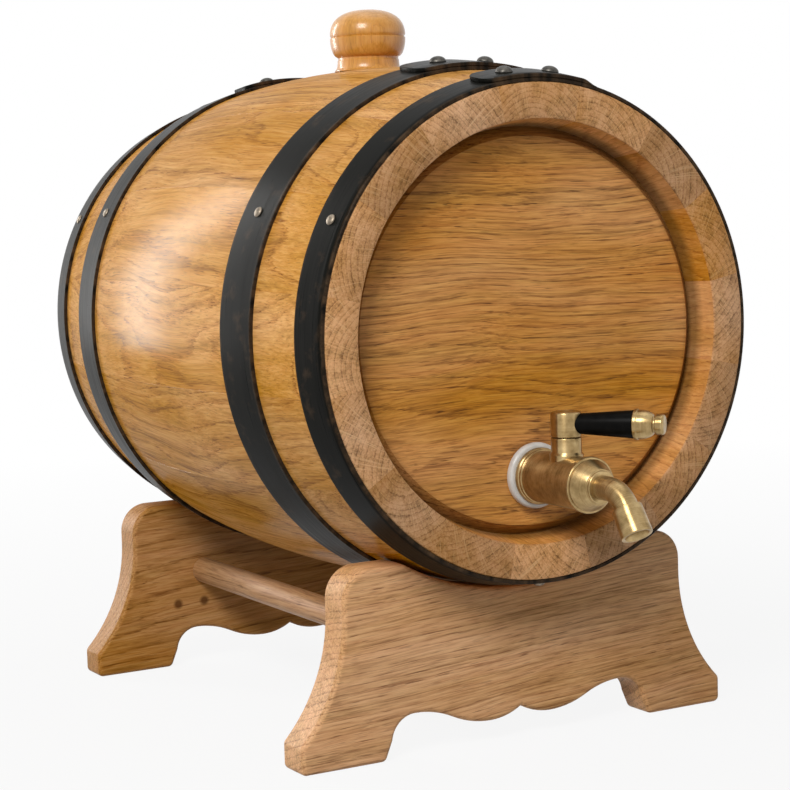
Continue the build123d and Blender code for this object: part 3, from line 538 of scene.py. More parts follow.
def face_outwards(mesh):
    shell = bmesh.new()
    shell.from_mesh(mesh)
    bmesh.ops.remove_doubles(shell, verts=shell.verts, dist=1e-7)
    bmesh.ops.recalc_face_normals(shell, faces=shell.faces)
    shell.to_mesh(mesh)
    shell.free()


print("mesh helpers ready")

# %% Pieces
def new_object(name, data):
    thing = bpy.data.objects.new(name, data)
    bpy.context.scene.collection.objects.link(thing)
    return thing


def set_down(name, mesh, body, nodes, slot, *materials):
    """Make a finished piece: its materials, its body and the solids it stands for. The finish slot is not
    used.
    """
    for material in materials:
        mesh.materials.append(material)
    piece = new_object(name, mesh)
    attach(piece, body)
    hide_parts(*nodes)


def copy_of(node):
    """A solid's mesh with its loose triangles merged."""
    shell = bmesh.new()
    shell.from_mesh(frame["nodes"][node].data)
    bmesh.ops.remove_doubles(shell, verts=shell.verts, dist=1e-6)
    shell.verts.index_update()
    points = [vertex.co.copy() for vertex in shell.verts]
    faces = [[vertex.index for vertex in face.verts] for face in shell.faces]
    shell.free()
    return make_mesh(node, points, faces)


def plain_mesh(piece):
    """What a piece's modifiers make of it, as a mesh of its own."""
    graph = bpy.context.evaluated_depsgraph_get()
    shape = piece.evaluated_get(graph)
    return bpy.data.meshes.new_from_object(shape, preserve_all_data_layers=True, depsgraph=graph)


print("piece helpers ready")

# %% Turned pieces
MAP_STRETCH = 9


def rounded(corners, steps=4):
    """An outline whose corners (radius, height, rounding) are rounded. Without a third number they stay."""
    outline = []
    for index, corner in enumerate(corners):
        here = Vector(corner[:2])
        size = corner[2] if len(corner) > 2 else 0
        if not size:
            outline.append(here)
            continue
        back = (Vector(corners[index - 1][:2]) - here).normalized()
        on = (Vector(corners[(index + 1) % len(corners)][:2]) - here).normalized()
        half = back.angle(on) / 2
        centre = here + (back + on).normalized() * (size / sin(half))
        first = here + back * (size / tan(half)) - centre
        last = here + on * (size / tan(half)) - centre
        start = atan2(first.y, first.x)
        sweep = (atan2(last.y, last.x) - start + pi) % (2 * pi) - pi
        for step in range(steps + 1):
            angle = start + sweep * step / steps
            outline.append(centre + Vector((cos(angle), sin(angle))) * size)
    return outline


def finish_turning(name, points, faces, marks, turns):
    """A mesh that knows where the lathe's lines run. Marks are how far along and out each point is, and
    turns are how far round each corner of a face is, for the map that the brushing follows."""
    mesh = make_mesh(name, points, faces)
    give(mesh, "lathe", marks)
    heights = [MAP_STRETCH * sum(marks[loop.vertex_index]) for loop in mesh.loops]
    layer = mesh.uv_layers.new(name="turn")
    layer.uv.foreach_set("vector", [value for place in zip(turns, heights) for value in place])
    face_outwards(mesh)
    smooth(mesh)
    return mesh


def turned(name, corners, base, axis, closed=False, segments=96, steps=4):
    """Spin an outline in millimetres about an axis. An open outline starts and ends on the axis."""
    side = axis.orthogonal().normalized()
    other = axis.cross(side).normalized()
    points, marks, rings = [], [], []
    for radius, height in rounded(corners, steps):
        count = 1 if radius < 1e-6 else segments
        rings.append(list(range(len(points), len(points) + count)))
        for index in range(count):
            angle = 2 * pi * index / segments
            out = side * cos(angle) + other * sin(angle)
            points.append(base + (axis * height + out * radius) * MM)
            marks.append((height * MM, radius * MM, 0.0))
    faces, turns = [], []
    pairs = list(zip(rings, rings[1:])) + ([(rings[-1], rings[0])] if closed else [])
    for low, high in pairs:
        for index in range(segments):
            after = index + 1
            face = {}
            for ring, step in ((low, index), (low, after), (high, after), (high, index)):
                face.setdefault(ring[step % len(ring)], step / segments)
            if len(face) > 2:
                faces.append(list(face))
                turns += face.values()
    return finish_turning(name, points, faces, marks, turns)


print("turning tools ready")

# %% [markdown]
# ## The staves
# A stave is sawn, tapered and bent, so its outside is an arc from rim to rim and it is widest in the
# middle. All sixteen follow one rule, so one is modelled and Geometry Nodes set fifteen copies round
# the axis. Each copy stores its own random shift, which moves it in its log, and its own tone, so no
# two staves have the same grain. The long edges are eased by a hair, which draws the fine lines between
# staves, and the faces at the rims are marked so that they can be given the end grain.

# %% The stave's curve
END_RADIUS = 115 * MM
BILGE_RADIUS = 129.995 * MM
THICKNESS = 22 * MM
RIM_INNER = 98.5 * MM
CROZE_DEPTH = 4 * MM
CROZE_NEAR = HALF_LENGTH - 17.5 * MM
CROZE_FAR = CROZE_NEAR - 6 * MM
RISE = BILGE_RADIUS - END_RADIUS
CURVE = (HALF_LENGTH**2 + RISE**2) / (2 * RISE)
STAVES = 16
STAVE_ANGLE = 2 * pi / STAVES


def outside(along):
    return BILGE_RADIUS - CURVE + sqrt(CURVE**2 - along**2)


def inside(along):
    return BILGE_RADIUS - CURVE + sqrt((CURVE - THICKNESS) ** 2 - along**2)


print("radius at the rim", round(outside(HALF_LENGTH), 4), "and at the bilge", round(outside(0), 4))

# %% One stave
EASE = 0.9 * MM
SEAM = 0.08 * MM
SECTION_ROWS = 21
ACROSS = 10
BENT_SIDE, END_GRAIN, RIM_WALL = 0, 1, 2


def stave_section():
    """Half the long section of a stave, from the middle to the rear rim and back along the inside."""
    reach = HALF_LENGTH - EASE
    cut = HALF_LENGTH - 0.3 * EASE
    croze = inside(CROZE_NEAR) + CROZE_DEPTH
    steps = [step / SECTION_ROWS for step in range(SECTION_ROWS + 1)]
    half = [(reach * step, outside(reach * step)) for step in steps]
    half += [
        (cut, END_RADIUS - 0.3 * EASE + 0.1 * MM), (HALF_LENGTH, END_RADIUS - EASE),
        (HALF_LENGTH, RIM_INNER + EASE), (cut, RIM_INNER + 0.25 * EASE), (reach, RIM_INNER),
        (CROZE_NEAR, inside(CROZE_NEAR)), (CROZE_NEAR, croze), (CROZE_FAR, croze),
    ]
    return half + [(CROZE_FAR * step, inside(CROZE_FAR * step)) for step in reversed(steps)]


def side_of(*corners):
    """Which finish a face takes, from the two points of the section that it lies between."""
    depth = HALF_LENGTH - min(abs(along) for along, radius in corners)
    bent = all(abs(radius - outside(along)) < 0.2 * MM for along, radius in corners)
    if bent or depth > HALF_LENGTH - CROZE_NEAR + 0.1 * MM:
        return BENT_SIDE
    return END_GRAIN if depth < 1.1 * EASE else RIM_WALL


def stave_mesh():
    half = stave_section()
    loop = half + [(-along, radius) for along, radius in half[-2:0:-1]]
    hair = SEAM / END_RADIUS
    inner = np.linspace(-STAVE_ANGLE / 2 + hair, STAVE_ANGLE / 2 - hair, ACROSS)
    angles = [-STAVE_ANGLE / 2, *inner, STAVE_ANGLE / 2]
    points, grain = [], []
    for angle in angles:
        eased = SEAM if angle in (angles[0], angles[-1]) else 0.0
        for along, radius in loop:
            if abs(radius - outside(along)) < 1.5 * MM:
                radius -= eased
            if abs(along) > HALF_LENGTH - 0.5 * EASE:
                along -= eased * (1 if along > 0 else -1)
            points.append((radius * sin(angle), along, radius * cos(angle)))
            grain.append((angle * radius, along, radius - BILGE_RADIUS))
    size = len(loop)
    columns = len(angles) - 1
    faces = []
    for column in range(columns):
        faces += ring_faces(column * size, (column + 1) * size, size)
    faces += [list(range(size)), list(range(columns * size, len(points)))]
    sides = [side_of(loop[index], loop[(index + 1) % size]) for index in range(size)]
    mesh = make_mesh("stave", points, faces)
    give(mesh, "grain", grain)
    marks = mesh.attributes.new("stave_side", "INT", "FACE")
    marks.data.foreach_set("value", sides * columns + [BENT_SIDE, BENT_SIDE])
    face_outwards(mesh)
    smooth(mesh, 30)
    return mesh


stave = stave_mesh()
print("one stave:", len(stave.polygons), "faces")

# %% The tree that sets the staves round the axis
SHIFT_LOW, SHIFT_HIGH = (-0.06, -3.0, 0.035), (0.06, 3.0, 0.09)
STAVE_INPUTS = {
    "Stave": "Geometry", "Count": "Int", "Angle": "Float", "Centre": "Vector", "Seed": "Int",
    "Side": "Material", "End": "Material", "Wall": "Material",
}


def new_tree(name, inputs, output):
    """A Geometry Nodes tree with named inputs, and the identifiers that a modifier sets them by."""
    tree = bpy.data.node_groups.new(name, "GeometryNodeTree")
    sockets = {}
    for key, kind in inputs.items():
        socket = tree.interface.new_socket(key, in_out="INPUT", socket_type=f"NodeSocket{kind}")
        sockets[key] = socket.identifier
    tree.interface.new_socket(output, in_out="OUTPUT", socket_type="NodeSocketGeometry")
    return tree, sockets


def draw(tree, copies, name, kind, low, high, seed):
    """Store a random value on every copy."""
    span = {"Min": low, "Max": high, "Seed": seed}
    drawn = plug(add(tree, "FunctionNodeRandomValue", span, data_type=kind).outputs, "Value")
    inputs = {"Geometry": copies, "Name": name, "Value": drawn}
    return made(tree, "GeometryNodeStoreNamedAttribute", inputs, data_type=kind, domain="INSTANCE")


def stave_ring_tree():
    tree, sockets = new_tree("stave_ring", STAVE_INPUTS, "Ring")
    given = add(tree, "NodeGroupInput").outputs
    place = made(tree, "GeometryNodePoints", {"Count": given["Count"], "Position": given["Centre"]})
    number = calc(tree, "ADD", made(tree, "GeometryNodeInputIndex"), 1.0)
    turn = join(tree, 0.0, times(tree, number, given["Angle"]))
    turn = made(tree, "FunctionNodeEulerToRotation", {"Euler": turn})
    inputs = {"Points": place, "Instance": given["Stave"], "Rotation": turn}
    ring = made(tree, "GeometryNodeInstanceOnPoints", inputs)
    ring = draw(tree, ring, "shift", "FLOAT_VECTOR", SHIFT_LOW, SHIFT_HIGH, given["Seed"])
    ring = draw(tree, ring, "tone", "FLOAT", -1.0, 1.0, calc(tree, "ADD", given["Seed"], 1.0))
    ring = made(tree, "GeometryNodeRealizeInstances", {"Geometry": ring})
    ring = made(tree, "GeometryNodeSetMaterial", {"Geometry": ring, "Material": given["Side"]})
    marked = add(tree, "GeometryNodeInputNamedAttribute", {"Name": "stave_side"}, data_type="INT")
    for name, side in (("End", END_GRAIN), ("Wall", RIM_WALL)):
        inputs = {"A": plug(marked.outputs, "Attribute"), "B": side}
        chosen = made(tree, "FunctionNodeCompare", inputs, data_type="INT", operation="EQUAL")
        inputs = {"Geometry": ring, "Selection": chosen, "Material": given[name]}
        ring = made(tree, "GeometryNodeSetMaterial", inputs)
    add(tree, "NodeGroupOutput", {0: ring})
    return tree, sockets


stave_tree, stave_sockets = stave_ring_tree()
print("stave tree:", len(stave_tree.nodes), "nodes")

# %% Set fifteen staves round the axis
def grow(name, mesh, tree, sockets, values):
    """Run a Geometry Nodes tree on a mesh and keep what it makes as a plain mesh."""
    piece = new_object(name, mesh)
    modifier = piece.modifiers.new(name, "NODES")
    modifier.node_group = tree
    for key, value in values.items():
        modifier[sockets[key]] = value
    grown = plain_mesh(piece)
    bpy.data.objects.remove(piece)
    for index in reversed(range(len(grown.materials))):
        if grown.materials[index] is None:
            grown.materials.pop(index=index)
    return grown


values = {
    "Count": STAVES - 1, "Angle": STAVE_ANGLE, "Centre": CASK, "Seed": 11,
    "Side": stave_oak, "End": rim_oak, "Wall": wall_oak,
}
stave_ring = grow("staves", stave, stave_tree, stave_sockets, values)
others = [f"stave_{number:02d}" for number in range(2, STAVES + 1)]
set_down("staves", stave_ring, "cask", others, "stave_oak")
print("stave ring:", len(stave_ring.polygons), "faces,", list(stave_ring.materials))

# %% [markdown]
# ## The bung stave
# The stave on top has a flat seat and a tapered hole for the bung. A boolean cut with a turned cutter is
# the plain way to make it, as a spade bit and a reamer would on the real one. The cutter carries its own
# grain, so the wall of the hole is wood as well.

# %% Cut the bung hole
SEAT_RADIUS = 17.9
SEAT = sqrt(130.0**2 - SEAT_RADIUS**2)
HOLE_TOP, HOLE_FOOT = 14.8, 13.0
CUT_HIGH, CUT_LOW = SEAT + 6, SEAT - 30
BUNG_STAVE_SHIFT = (0.004, 1.7, 0.045)


def combined(name, first, second, operation, angle=32):
    """Two meshes joined into one, or the first with the second cut out of it."""
    pieces = [new_object(f"{name}_{index}", mesh) for index, mesh in enumerate((first, second))]
    weld = pieces[0].modifiers.new("weld", "BOOLEAN")
    weld.operation = operation
    weld.solver = "EXACT"
    weld.object = pieces[1]
    bpy.context.view_layer.update()
    result = plain_mesh(pieces[0])
    for piece in pieces:
        bpy.data.objects.remove(piece)
    smooth(result, angle)
    return result


bung_stave = stave_mesh()
hole = [(0, CUT_HIGH), (SEAT_RADIUS, CUT_HIGH), (SEAT_RADIUS, SEAT)]
hole += [(HOLE_TOP, SEAT), (HOLE_FOOT, CUT_LOW), (0, CUT_LOW)]
cutter = turned("bung_cutter", hole, Vector((0, 0, 0)), UP, segments=64)
give(cutter, "grain", points_of(cutter) - np.array((0, 0, BILGE_RADIUS)))
for mesh in (bung_stave, cutter):
    count = len(mesh.vertices)
    give(mesh, "shift", np.tile(BUNG_STAVE_SHIFT, (count, 1)))
    give(mesh, "tone", np.full(count, 0.2))
    for material in (stave_oak, rim_oak, wall_oak):
        mesh.materials.append(material)
sides = np.zeros(len(bung_stave.polygons), np.int32)
bung_stave.attributes["stave_side"].data.foreach_get("value", sides)
bung_stave.polygons.foreach_set("material_index", sides)
holed = combined("bung_stave", bung_stave, cutter, "DIFFERENCE", 30)
for vertex in holed.vertices:
    vertex.co += CASK
set_down("bung_stave_piece", holed, "cask", ["bung_stave"], "stave_oak")
print("bung stave:", len(holed.polygons), "faces")

# %% [markdown]
# ## The heads
# Each head is three boards, jointed so well that one figure seems to run right across them. The solids
# already have the right shape, so they are copied, and the grain is laid across the head from left to
# right with the pith some way behind the face.

# %% Lay the grain in the heads
def lay(node, axes, origin, tone, body, slot, material):
    """Copy a solid and say which of its directions run across, along and out of its log."""
    mesh = copy_of(node)
    spots = points_of(mesh) @ np.array(axes, np.float32).T + np.array(origin, np.float32)
    give(mesh, "grain", spots)
    give(mesh, "tone", np.full(len(spots), tone, np.float32))
    smooth(mesh)
    set_down(f"{node}_piece", mesh, body, [node], slot, material)


# Across the log is up the head, along it is from left to right and out of it is through the board
HEAD_AXES = ((0.0, 0.0, 1.0), (1.0, 0.0, 0.0), (0.0, 1.0, 0.0))
PITH_DROP, PITH_BEHIND = 0.055, 0.19
for end, offset in (("front", 1.3), ("rear", 4.1)):
    for board in ("upper", "middle", "lower"):
        origin = (-CASK.z + PITH_DROP, offset, PITH_BEHIND)
        lay(f"{end}_head_{board}_board", HEAD_AXES, origin, 0.0, "cask", "head_oak", head_oak)
print("heads laid")

# %% [markdown]
# ## The hoops
# A hoop is a strip of steel bent into a ring, with its ends lapped on top and riveted. The ring follows
# the slope of the staves. The upper end of the lap is clipped to a blunt tongue, and the lower end runs
# out from under it, which a short ramp shows. Each point remembers how far round and how far across the
# strip it lies, because that is where the wear is.

# %% A strip that follows the staves
STEEL = 2.0 * MM
STRIP_EASE = 0.35 * MM
STRIP_ROWS = 7


def strip_mesh(name, first, last, columns, closed):
    """A bent strip. Each column is (angle, low, high, trim): two heights and how much narrower it is."""
    middle, half = (first + last) / 2, abs(last - first) / 2
    points, marks = [], []
    for angle, low, high, trim in columns:
        reach = half - trim
        lean = min(STRIP_EASE, (high - low) / 3)
        across = np.linspace(-(reach - lean), reach - lean, STRIP_ROWS)
        section = [(-reach, low + lean), (-reach, high - lean)]
        section += [(place, high) for place in across]
        section += [(reach, high - lean), (reach, low + lean)]
        section += [(place, low) for place in across[::-1]]
        for place, height in section:
            along = middle + place
            radius = outside(along) + height
            points.append((radius * sin(angle), along, radius * cos(angle)))
            marks.append((angle * BILGE_RADIUS, place / half, 0.0))
    count = len(columns)
    size = len(points) // count
    faces = []
    for column in range(count if closed else count - 1):
        faces += ring_faces(column * size, (column + 1) % count * size, size)
    if not closed:
        faces += [list(range(size)), list(range(len(points) - size, len(points)))]
    mesh = make_mesh(name, [Vector(point) + CASK for point in points], faces)
    give(mesh, "strip", marks)
    face_outwards(mesh)
    smooth(mesh, 40)
    return mesh


def merged(name, meshes):
    """Several meshes as one, with what their points remember."""
    whole = bmesh.new()
    for mesh in meshes:
        whole.from_mesh(mesh)
    result = bpy.data.meshes.new(name)
    whole.to_mesh(result)
    whole.free()
    return result


print("strips can be bent")

# %% Bend the hoops
HOOPS = (("head", 0.5, 19.5), ("quarter", 54.5, 26.0))
LAP_START, LAP_END, LAP_FOOT = radians(-13.5), radians(12.0), radians(16.0)
TONGUE = 7.0 * MM
TIP_DEGREES = (0, 0.15, 0.4, 0.8, 1.3, 1.9, 2.6, 3.2)
GAP = 0.05 * MM
LAP_UNDER, LAP_TOP = STEEL * 1.01, STEEL * 2
RAMP_LOW, RAMP_STEPS = STEEL * 1.02, 5


def tongue(distance):
    """How much the lap's free end is narrowed at a distance from its tip."""
    return TONGUE - sqrt(TONGUE**2 - (TONGUE - distance) ** 2) if distance < TONGUE else 0.0


def lap_columns(radius):
    """The columns of a lap: its blunt tip, its run and the ramp down to the ring."""
    tip = [radians(step) for step in TIP_DEGREES]
    lap = [(LAP_START + angle, LAP_UNDER, LAP_TOP, tongue(angle * radius)) for angle in tip]
    run = np.linspace(LAP_START + radians(4), LAP_END, 18)
    lap += [(angle, LAP_UNDER, LAP_TOP, 0.0) for angle in run]
    for step in range(1, RAMP_STEPS + 1):
        share = step / RAMP_STEPS
        ease = 1 - share * share * (3 - 2 * share)
        top = RAMP_LOW + (LAP_TOP - RAMP_LOW) * ease
        lap.append((LAP_END + (LAP_FOOT - LAP_END) * share, LAP_UNDER - 0.2 * MM, top, 0.0))
    return lap


ring = [(angle, GAP, STEEL - GAP, 0.0) for angle in np.linspace(-pi, pi, 181)[:-1]]
hoop_places = {}
for end, side in (("front", -1), ("rear", 1)):
    for kind, setback, width in HOOPS:
        first = side * (HALF_LENGTH - setback * MM)
        hoop_places[f"{end}_{kind}_hoop"] = (first, first - side * width * MM)
for name, (first, last) in hoop_places.items():
    lap = lap_columns(outside((first + last) / 2))
    parts = [strip_mesh(name, first, last, ring, True), strip_mesh(name, first, last, lap, False)]
    set_down(f"{name}_piece", merged(name, parts), "cask", [name], "hoop_steel", hoop_steel)
print("hoops:", {name: [round(edge, 4) for edge in edges] for name, edges in hoop_places.items()})

# %% [markdown]
# ## Rivets and nails
# Two domed rivets close each lap, and small nails keep the hoops from sliding. They repeat, so one tree
# makes a domed pin from its sizes and sets it on a cloud of points. Every point remembers which way is
# out, and the pin turns to face it.

# %% The tree for domed pins
PIN_SIZES = ("Head radius", "Head height", "Shank radius", "Shank length")
PIN_INPUTS = {"Places": "Geometry", **dict.fromkeys(PIN_SIZES, "Float"), "Finish": "Material"}


def pin_tree():
    tree, sockets = new_tree("domed_pins", PIN_INPUTS, "Pins")
    given = add(tree, "NodeGroupInput").outputs
    ball = made(tree, "GeometryNodeMeshUVSphere", {"Segments": 32, "Rings": 20, "Radius": 1.0})
    x, y, z = split(tree, made(tree, "GeometryNodeInputPosition"))
    # The lower half of the ball is pressed nearly flat, to be the underside of the head
    pressed = calc(tree, "MAXIMUM", z, times(tree, z, 0.06))
    sizes = join(tree, given["Head radius"], given["Head radius"], given["Head height"])
    shape = scaled(tree, join(tree, x, y, pressed), sizes)
    head = made(tree, "GeometryNodeSetPosition", {"Geometry": ball, "Position": shape})
    sizes = {"Vertices": 16, "Radius": given["Shank radius"], "Depth": given["Shank length"]}
    shank = made(tree, "GeometryNodeMeshCylinder", sizes)
    sunk = join(tree, 0.0, 0.0, times(tree, given["Shank length"], -0.5))
    shank = made(tree, "GeometryNodeTransform", {"Geometry": shank, "Translation": sunk})
    pin = add(tree, "GeometryNodeJoinGeometry")
    for part in (head, shank):
        tree.links.new(part, pin.inputs[0])
    out = add(tree, "GeometryNodeInputNamedAttribute", {"Name": "out"}, data_type="FLOAT_VECTOR")
    inputs = {"Vector": plug(out.outputs, "Attribute")}
    facing = made(tree, "FunctionNodeAlignRotationToVector", inputs, axis="Z")
    points = made(tree, "GeometryNodeMeshToPoints", {"Mesh": given["Places"]})
    inputs = {"Points": points, "Instance": pin.outputs[0], "Rotation": facing}
    pins = made(tree, "GeometryNodeInstanceOnPoints", inputs)
    pins = made(tree, "GeometryNodeRealizeInstances", {"Geometry": pins})
    pins = made(tree, "GeometryNodeSetShadeSmooth", {0: pins})
    pins = made(tree, "GeometryNodeSetMaterial", {"Geometry": pins, "Material": given["Finish"]})
    add(tree, "NodeGroupOutput", {0: pins})
    return tree, sockets


pins, pin_sockets = pin_tree()
print("pin tree:", len(pins.nodes), "nodes")

# %% Set the rivets and the nails
def pin_places(angles, height):
    """Points on the hoops at these angles, with the way that is out from the staves."""
    spots, ways = [], []
    for first, last in hoop_places.values():
        along = (first + last) / 2
        slope = along / CURVE
        flat = sqrt(1 - slope**2)
        for angle in angles:
            turn = radians(angle)
            radius = outside(along) + height
            spots.append(CASK + Vector((radius * sin(turn), along, radius * cos(turn))))
            ways.append((flat * sin(turn), slope, flat * cos(turn)))
    mesh = make_mesh("pin_places", spots, [])
    give(mesh, "out", ways)
    return mesh


def set_pins(name, places, sizes, finish, nodes, slot):
    """Pins at these places. Sizes are the head's radius and height, then the shank's radius and length."""
    values = {key: size * MM for key, size in zip(PIN_SIZES, sizes)}
    mesh = grow(name, places, pins, pin_sockets, {**values, "Finish": finish})
    set_down(name, mesh, "cask", nodes, slot)
    print(name, len(mesh.polygons), "faces")


hoop_rivets = [f"{name}_rivets" for name in hoop_places]
rivet_places = pin_places((-6, 6), LAP_TOP)
set_pins("rivets", rivet_places, (4.1, 2.7, 2.0, 3.7), rivet_pewter, hoop_rivets, "rivet_steel")
nail_places = pin_places((-62, 62, 180), STEEL)
set_pins("nails", nail_places, (2.6, 1.3, 1.0, 11.5), nail_steel, ["hoop_nails"], "nail_steel")

# %% [markdown]
# ## The bung
# The bung is one turned piece: a tapered plug, a collar that stands on the seat, a thin neck and a round
# knob with a scored line at its widest. The collar spreads a little at its foot. Its grain runs up it,
# as in a knob turned from the end of a rod.

# %% Turn the bung
BUNG = CASK + UP * SEAT * MM
BUNG_PITH = np.array((0.012, 0.4, 0.05), np.float32)
foot = [(0, -32), (12.58, -32, 0.8), (14.5, 0.3), (17.6, 0.3, 0.2)]
skirt = [(17.6 - 1.6 * sin(turn), 5.9 - 4.9 * cos(turn)) for turn in np.linspace(0.05, pi / 2, 8)]
neck = [(15.7, 6.3), (15.7, 7.4)]
belly = [(15.8 + 3.8 * sin(turn), 17.4 - 9.6 * cos(turn)) for turn in np.linspace(0.12, pi / 2, 14)]
score = [(19.0, 17.9)]
dome = [(19.6 * cos(turn) ** 0.82, 18.4 + 13.6 * sin(turn) ** 0.82) for turn in np.linspace(0.02, 1.55, 28)]
bung = turned("bung", foot + skirt + neck + belly + score + dome + [(0, 32)], BUNG, UP)
spots = points_of(bung) - np.array(BUNG, np.float32)
give(bung, "grain", spots[:, (0, 2, 1)] + BUNG_PITH)
give(bung, "tone", np.full(len(spots), 0.3))
set_down("bung_piece", bung, "bung", ["bung"], "bung_oak", bung_oak)
print("bung:", len(bung.polygons), "faces")

# %% [markdown]
# ## The tap
# The tap is brass turned on a lathe: a body with a flange and a front ring, an upright bonnet for the
# valve, a nose cone, a bent spout and a nozzle sleeve. Each outline follows its solid, with the edges
# broken as a turner would. The body and the bonnet are one casting, so they are joined by a boolean.

# %% Body and bonnet
def set_brass(node, mesh, body="cask"):
    set_down(f"{node}_piece", mesh, body, [node], "brass", brass)


body_outline = [
    (0, -27.5), (8.3, -27.5, 0.8), (8.3, 4.5), (13.4, 4.5, 0.5), (13.4, 7.1, 0.8), (12.8, 7.1, 0.15),
    (12.8, 8.5, 0.5), (12.2, 8.5, 0.2), (12.2, 43.8, 0.2), (12.9, 43.8, 0.4), (12.9, 47, 0.5), (0, 47),
]
bonnet_outline = [(0, 0), (7.9, 0), (7.9, 12.4, 0.6), (7.1, 13.6, 1.0), (7.1, 20.4, 0.5), (0, 20.4)]
tap_body = combined(
    "tap_body",
    turned("tap_body", body_outline, TAP, AHEAD, segments=128),
    turned("tap_bonnet", bonnet_outline, VALVE, UP),
    "UNION",
)
set_brass("tap_body", tap_body)
print("tap body:", len(tap_body.polygons), "faces")

# %% Washer, nose cone and nozzle
SPOUT_TURN = radians(57)
BEND = 16.0
CORNER = 69.5
BEND_RUN = BEND * tan(SPOUT_TURN / 2)
spout_way = AHEAD * cos(SPOUT_TURN) - UP * sin(SPOUT_TURN)
nozzle_base = TAP + (AHEAD * CORNER + spout_way * BEND_RUN) * MM
washer_outline = [(8.35, 0), (15.6, 0, 1.8), (15.6, 4.5, 1.8), (8.35, 4.5)]
cone_outline = [
    (3.6, 41), (7.2, 41), (7.2, 47), (12.2, 47, 0.4), (8.3, 54.5, 0.9), (7.6, 54.7, 0.1),
    (7.6, 56.1, 0.6), (5.55, 56.1), (5.55, 50), (3.6, 50),
]
nozzle_outline = [
    (5.55, 0), (6.9, 0, 0.3), (6.95, 1.6), (7.3, 13.5, 0.4), (5.7, 13.5, 0.5), (4.3, 10.5), (4.3, 8.05),
    (5.55, 8.05),
]
washer = turned("tap_washer", washer_outline, TAP, AHEAD, closed=True, steps=8)
set_down("tap_washer_piece", washer, "cask", ["tap_outer_washer"], "washer_plastic", washer_milk)
cone = turned("tap_nose_cone", cone_outline, TAP, AHEAD, closed=True)
set_brass("tap_nose_cone", cone)
nozzle = turned("tap_nozzle", nozzle_outline, nozzle_base, spout_way, closed=True)
set_brass("tap_nozzle", nozzle)
print("washer, nose cone and nozzle turned")

# %% [markdown]
# ## The spout
# The spout is a tube that runs straight out of the nose cone, bends down and ends inside the nozzle. A
# ring of points for the outside and one for the bore are carried along the path, and the two ends are
# closed between them.

# %% Bend the spout
SPOUT_RADIUS, SPOUT_BORE = 5.5, 4.3
BEND_STEPS = 24
TUBE_SEGMENTS = 64


def spout_path():
    """Places along the middle of the tube and the way that it runs there."""
    straight = (50.0, 53.0, 56.1, 58.5, CORNER - BEND_RUN)
    stops = [(TAP + AHEAD * along * MM, AHEAD) for along in straight]
    turn_centre = TAP + (AHEAD * (CORNER - BEND_RUN) - UP * BEND) * MM
    for step in range(1, BEND_STEPS + 1):
        angle = SPOUT_TURN * step / BEND_STEPS
        way = AHEAD * cos(angle) - UP * sin(angle)
        out = AHEAD * sin(angle) + UP * cos(angle)
        stops.append((turn_centre + out * BEND * MM, way))
    return stops + [(nozzle_base + spout_way * along * MM, spout_way) for along in (2.0, 5.0, 8.0)]


def tube_mesh(name, stops, radius, bore):
    side = Vector((1, 0, 0))
    points, marks = [], []
    run = 0.0
    for index, (centre, way) in enumerate(stops):
        run += (centre - stops[index - 1][0]).length if index else 0.0
        other = way.cross(side)
        for size in (radius, bore):
            for step in range(TUBE_SEGMENTS):
                angle = 2 * pi * step / TUBE_SEGMENTS
                points.append(centre + (side * cos(angle) + other * sin(angle)) * size * MM)
                marks.append((run, size * MM, 0.0))
    row = 2 * TUBE_SEGMENTS
    last = (len(stops) - 1) * row
    rings = range(0, last, TUBE_SEGMENTS)
    pairs = [(ring, ring + row) for ring in rings] + [(0, TUBE_SEGMENTS), (last, last + TUBE_SEGMENTS)]
    faces = []
    for low, high in pairs:
        faces += ring_faces(low, high, TUBE_SEGMENTS)
    once_round = [(step + edge) / TUBE_SEGMENTS for step in range(TUBE_SEGMENTS) for edge in (0, 1, 1, 0)]
    return finish_turning(name, points, faces, marks, once_round * len(pairs))


spout = tube_mesh("tap_spout", spout_path(), SPOUT_RADIUS, SPOUT_BORE)
set_brass("tap_spout", spout)
print("spout:", len(spout.polygons), "faces")

# %% [markdown]
# ## The lever
# The lever's hub sits on the valve's stem. A black grip is threaded on a stud that stands out of it, with
# its inner end hollowed to fit the round hub, and a brass cap with a small button closes the other end.
# All of them turn with the lever's body.

# %% Hub, grip and end cap
hub = turned("hub", [(0, 20.7), (7.1, 20.7, 0.4), (7.1, 32.2, 0.9), (0, 32.2)], VALVE, UP)
set_brass("lever_hub", hub, "lever")
grip_outline = [(2.25, 1), (4.37, 1), (6.5, 32.3, 0.5), (2.25, 32.3)]
hub_space = [(0, 15), (7.15, 15), (7.15, 38), (0, 38)]
grip = combined(
    "lever_grip",
    turned("grip", grip_outline, LEVER, LEVER_WAY, closed=True),
    turned("hub_space", hub_space, VALVE, UP),
    "DIFFERENCE",
)
set_down("lever_grip_piece", grip, "lever", ["lever_grip"], "grip_plastic", grip_black)
socket = [(0, 37.05), (2.25, 37.05), (2.25, 32.3)]
rim = [(7.1, 32.3, 0.4), (7.1, 34.0, 0.3), (6.85, 34.1)]
bell = [(3.9 + 2.9 * cos(turn) ** 1.2, 34.2 + 7.1 * sin(turn)) for turn in np.linspace(0.0, 1.5, 16)]
button = [(3.8, 41.6, 0.1), (3.8, 42.2, 0.2), (4.7, 42.4, 0.4), (4.7, 46.2, 1.1), (0, 46.2)]
cap = turned("lever_end_cap", socket + rim + bell + button, LEVER, LEVER_WAY)
set_brass("lever_end_cap", cap, "lever")
print("lever: hub", len(hub.polygons), "grip", len(grip.polygons), "cap", len(cap.polygons))

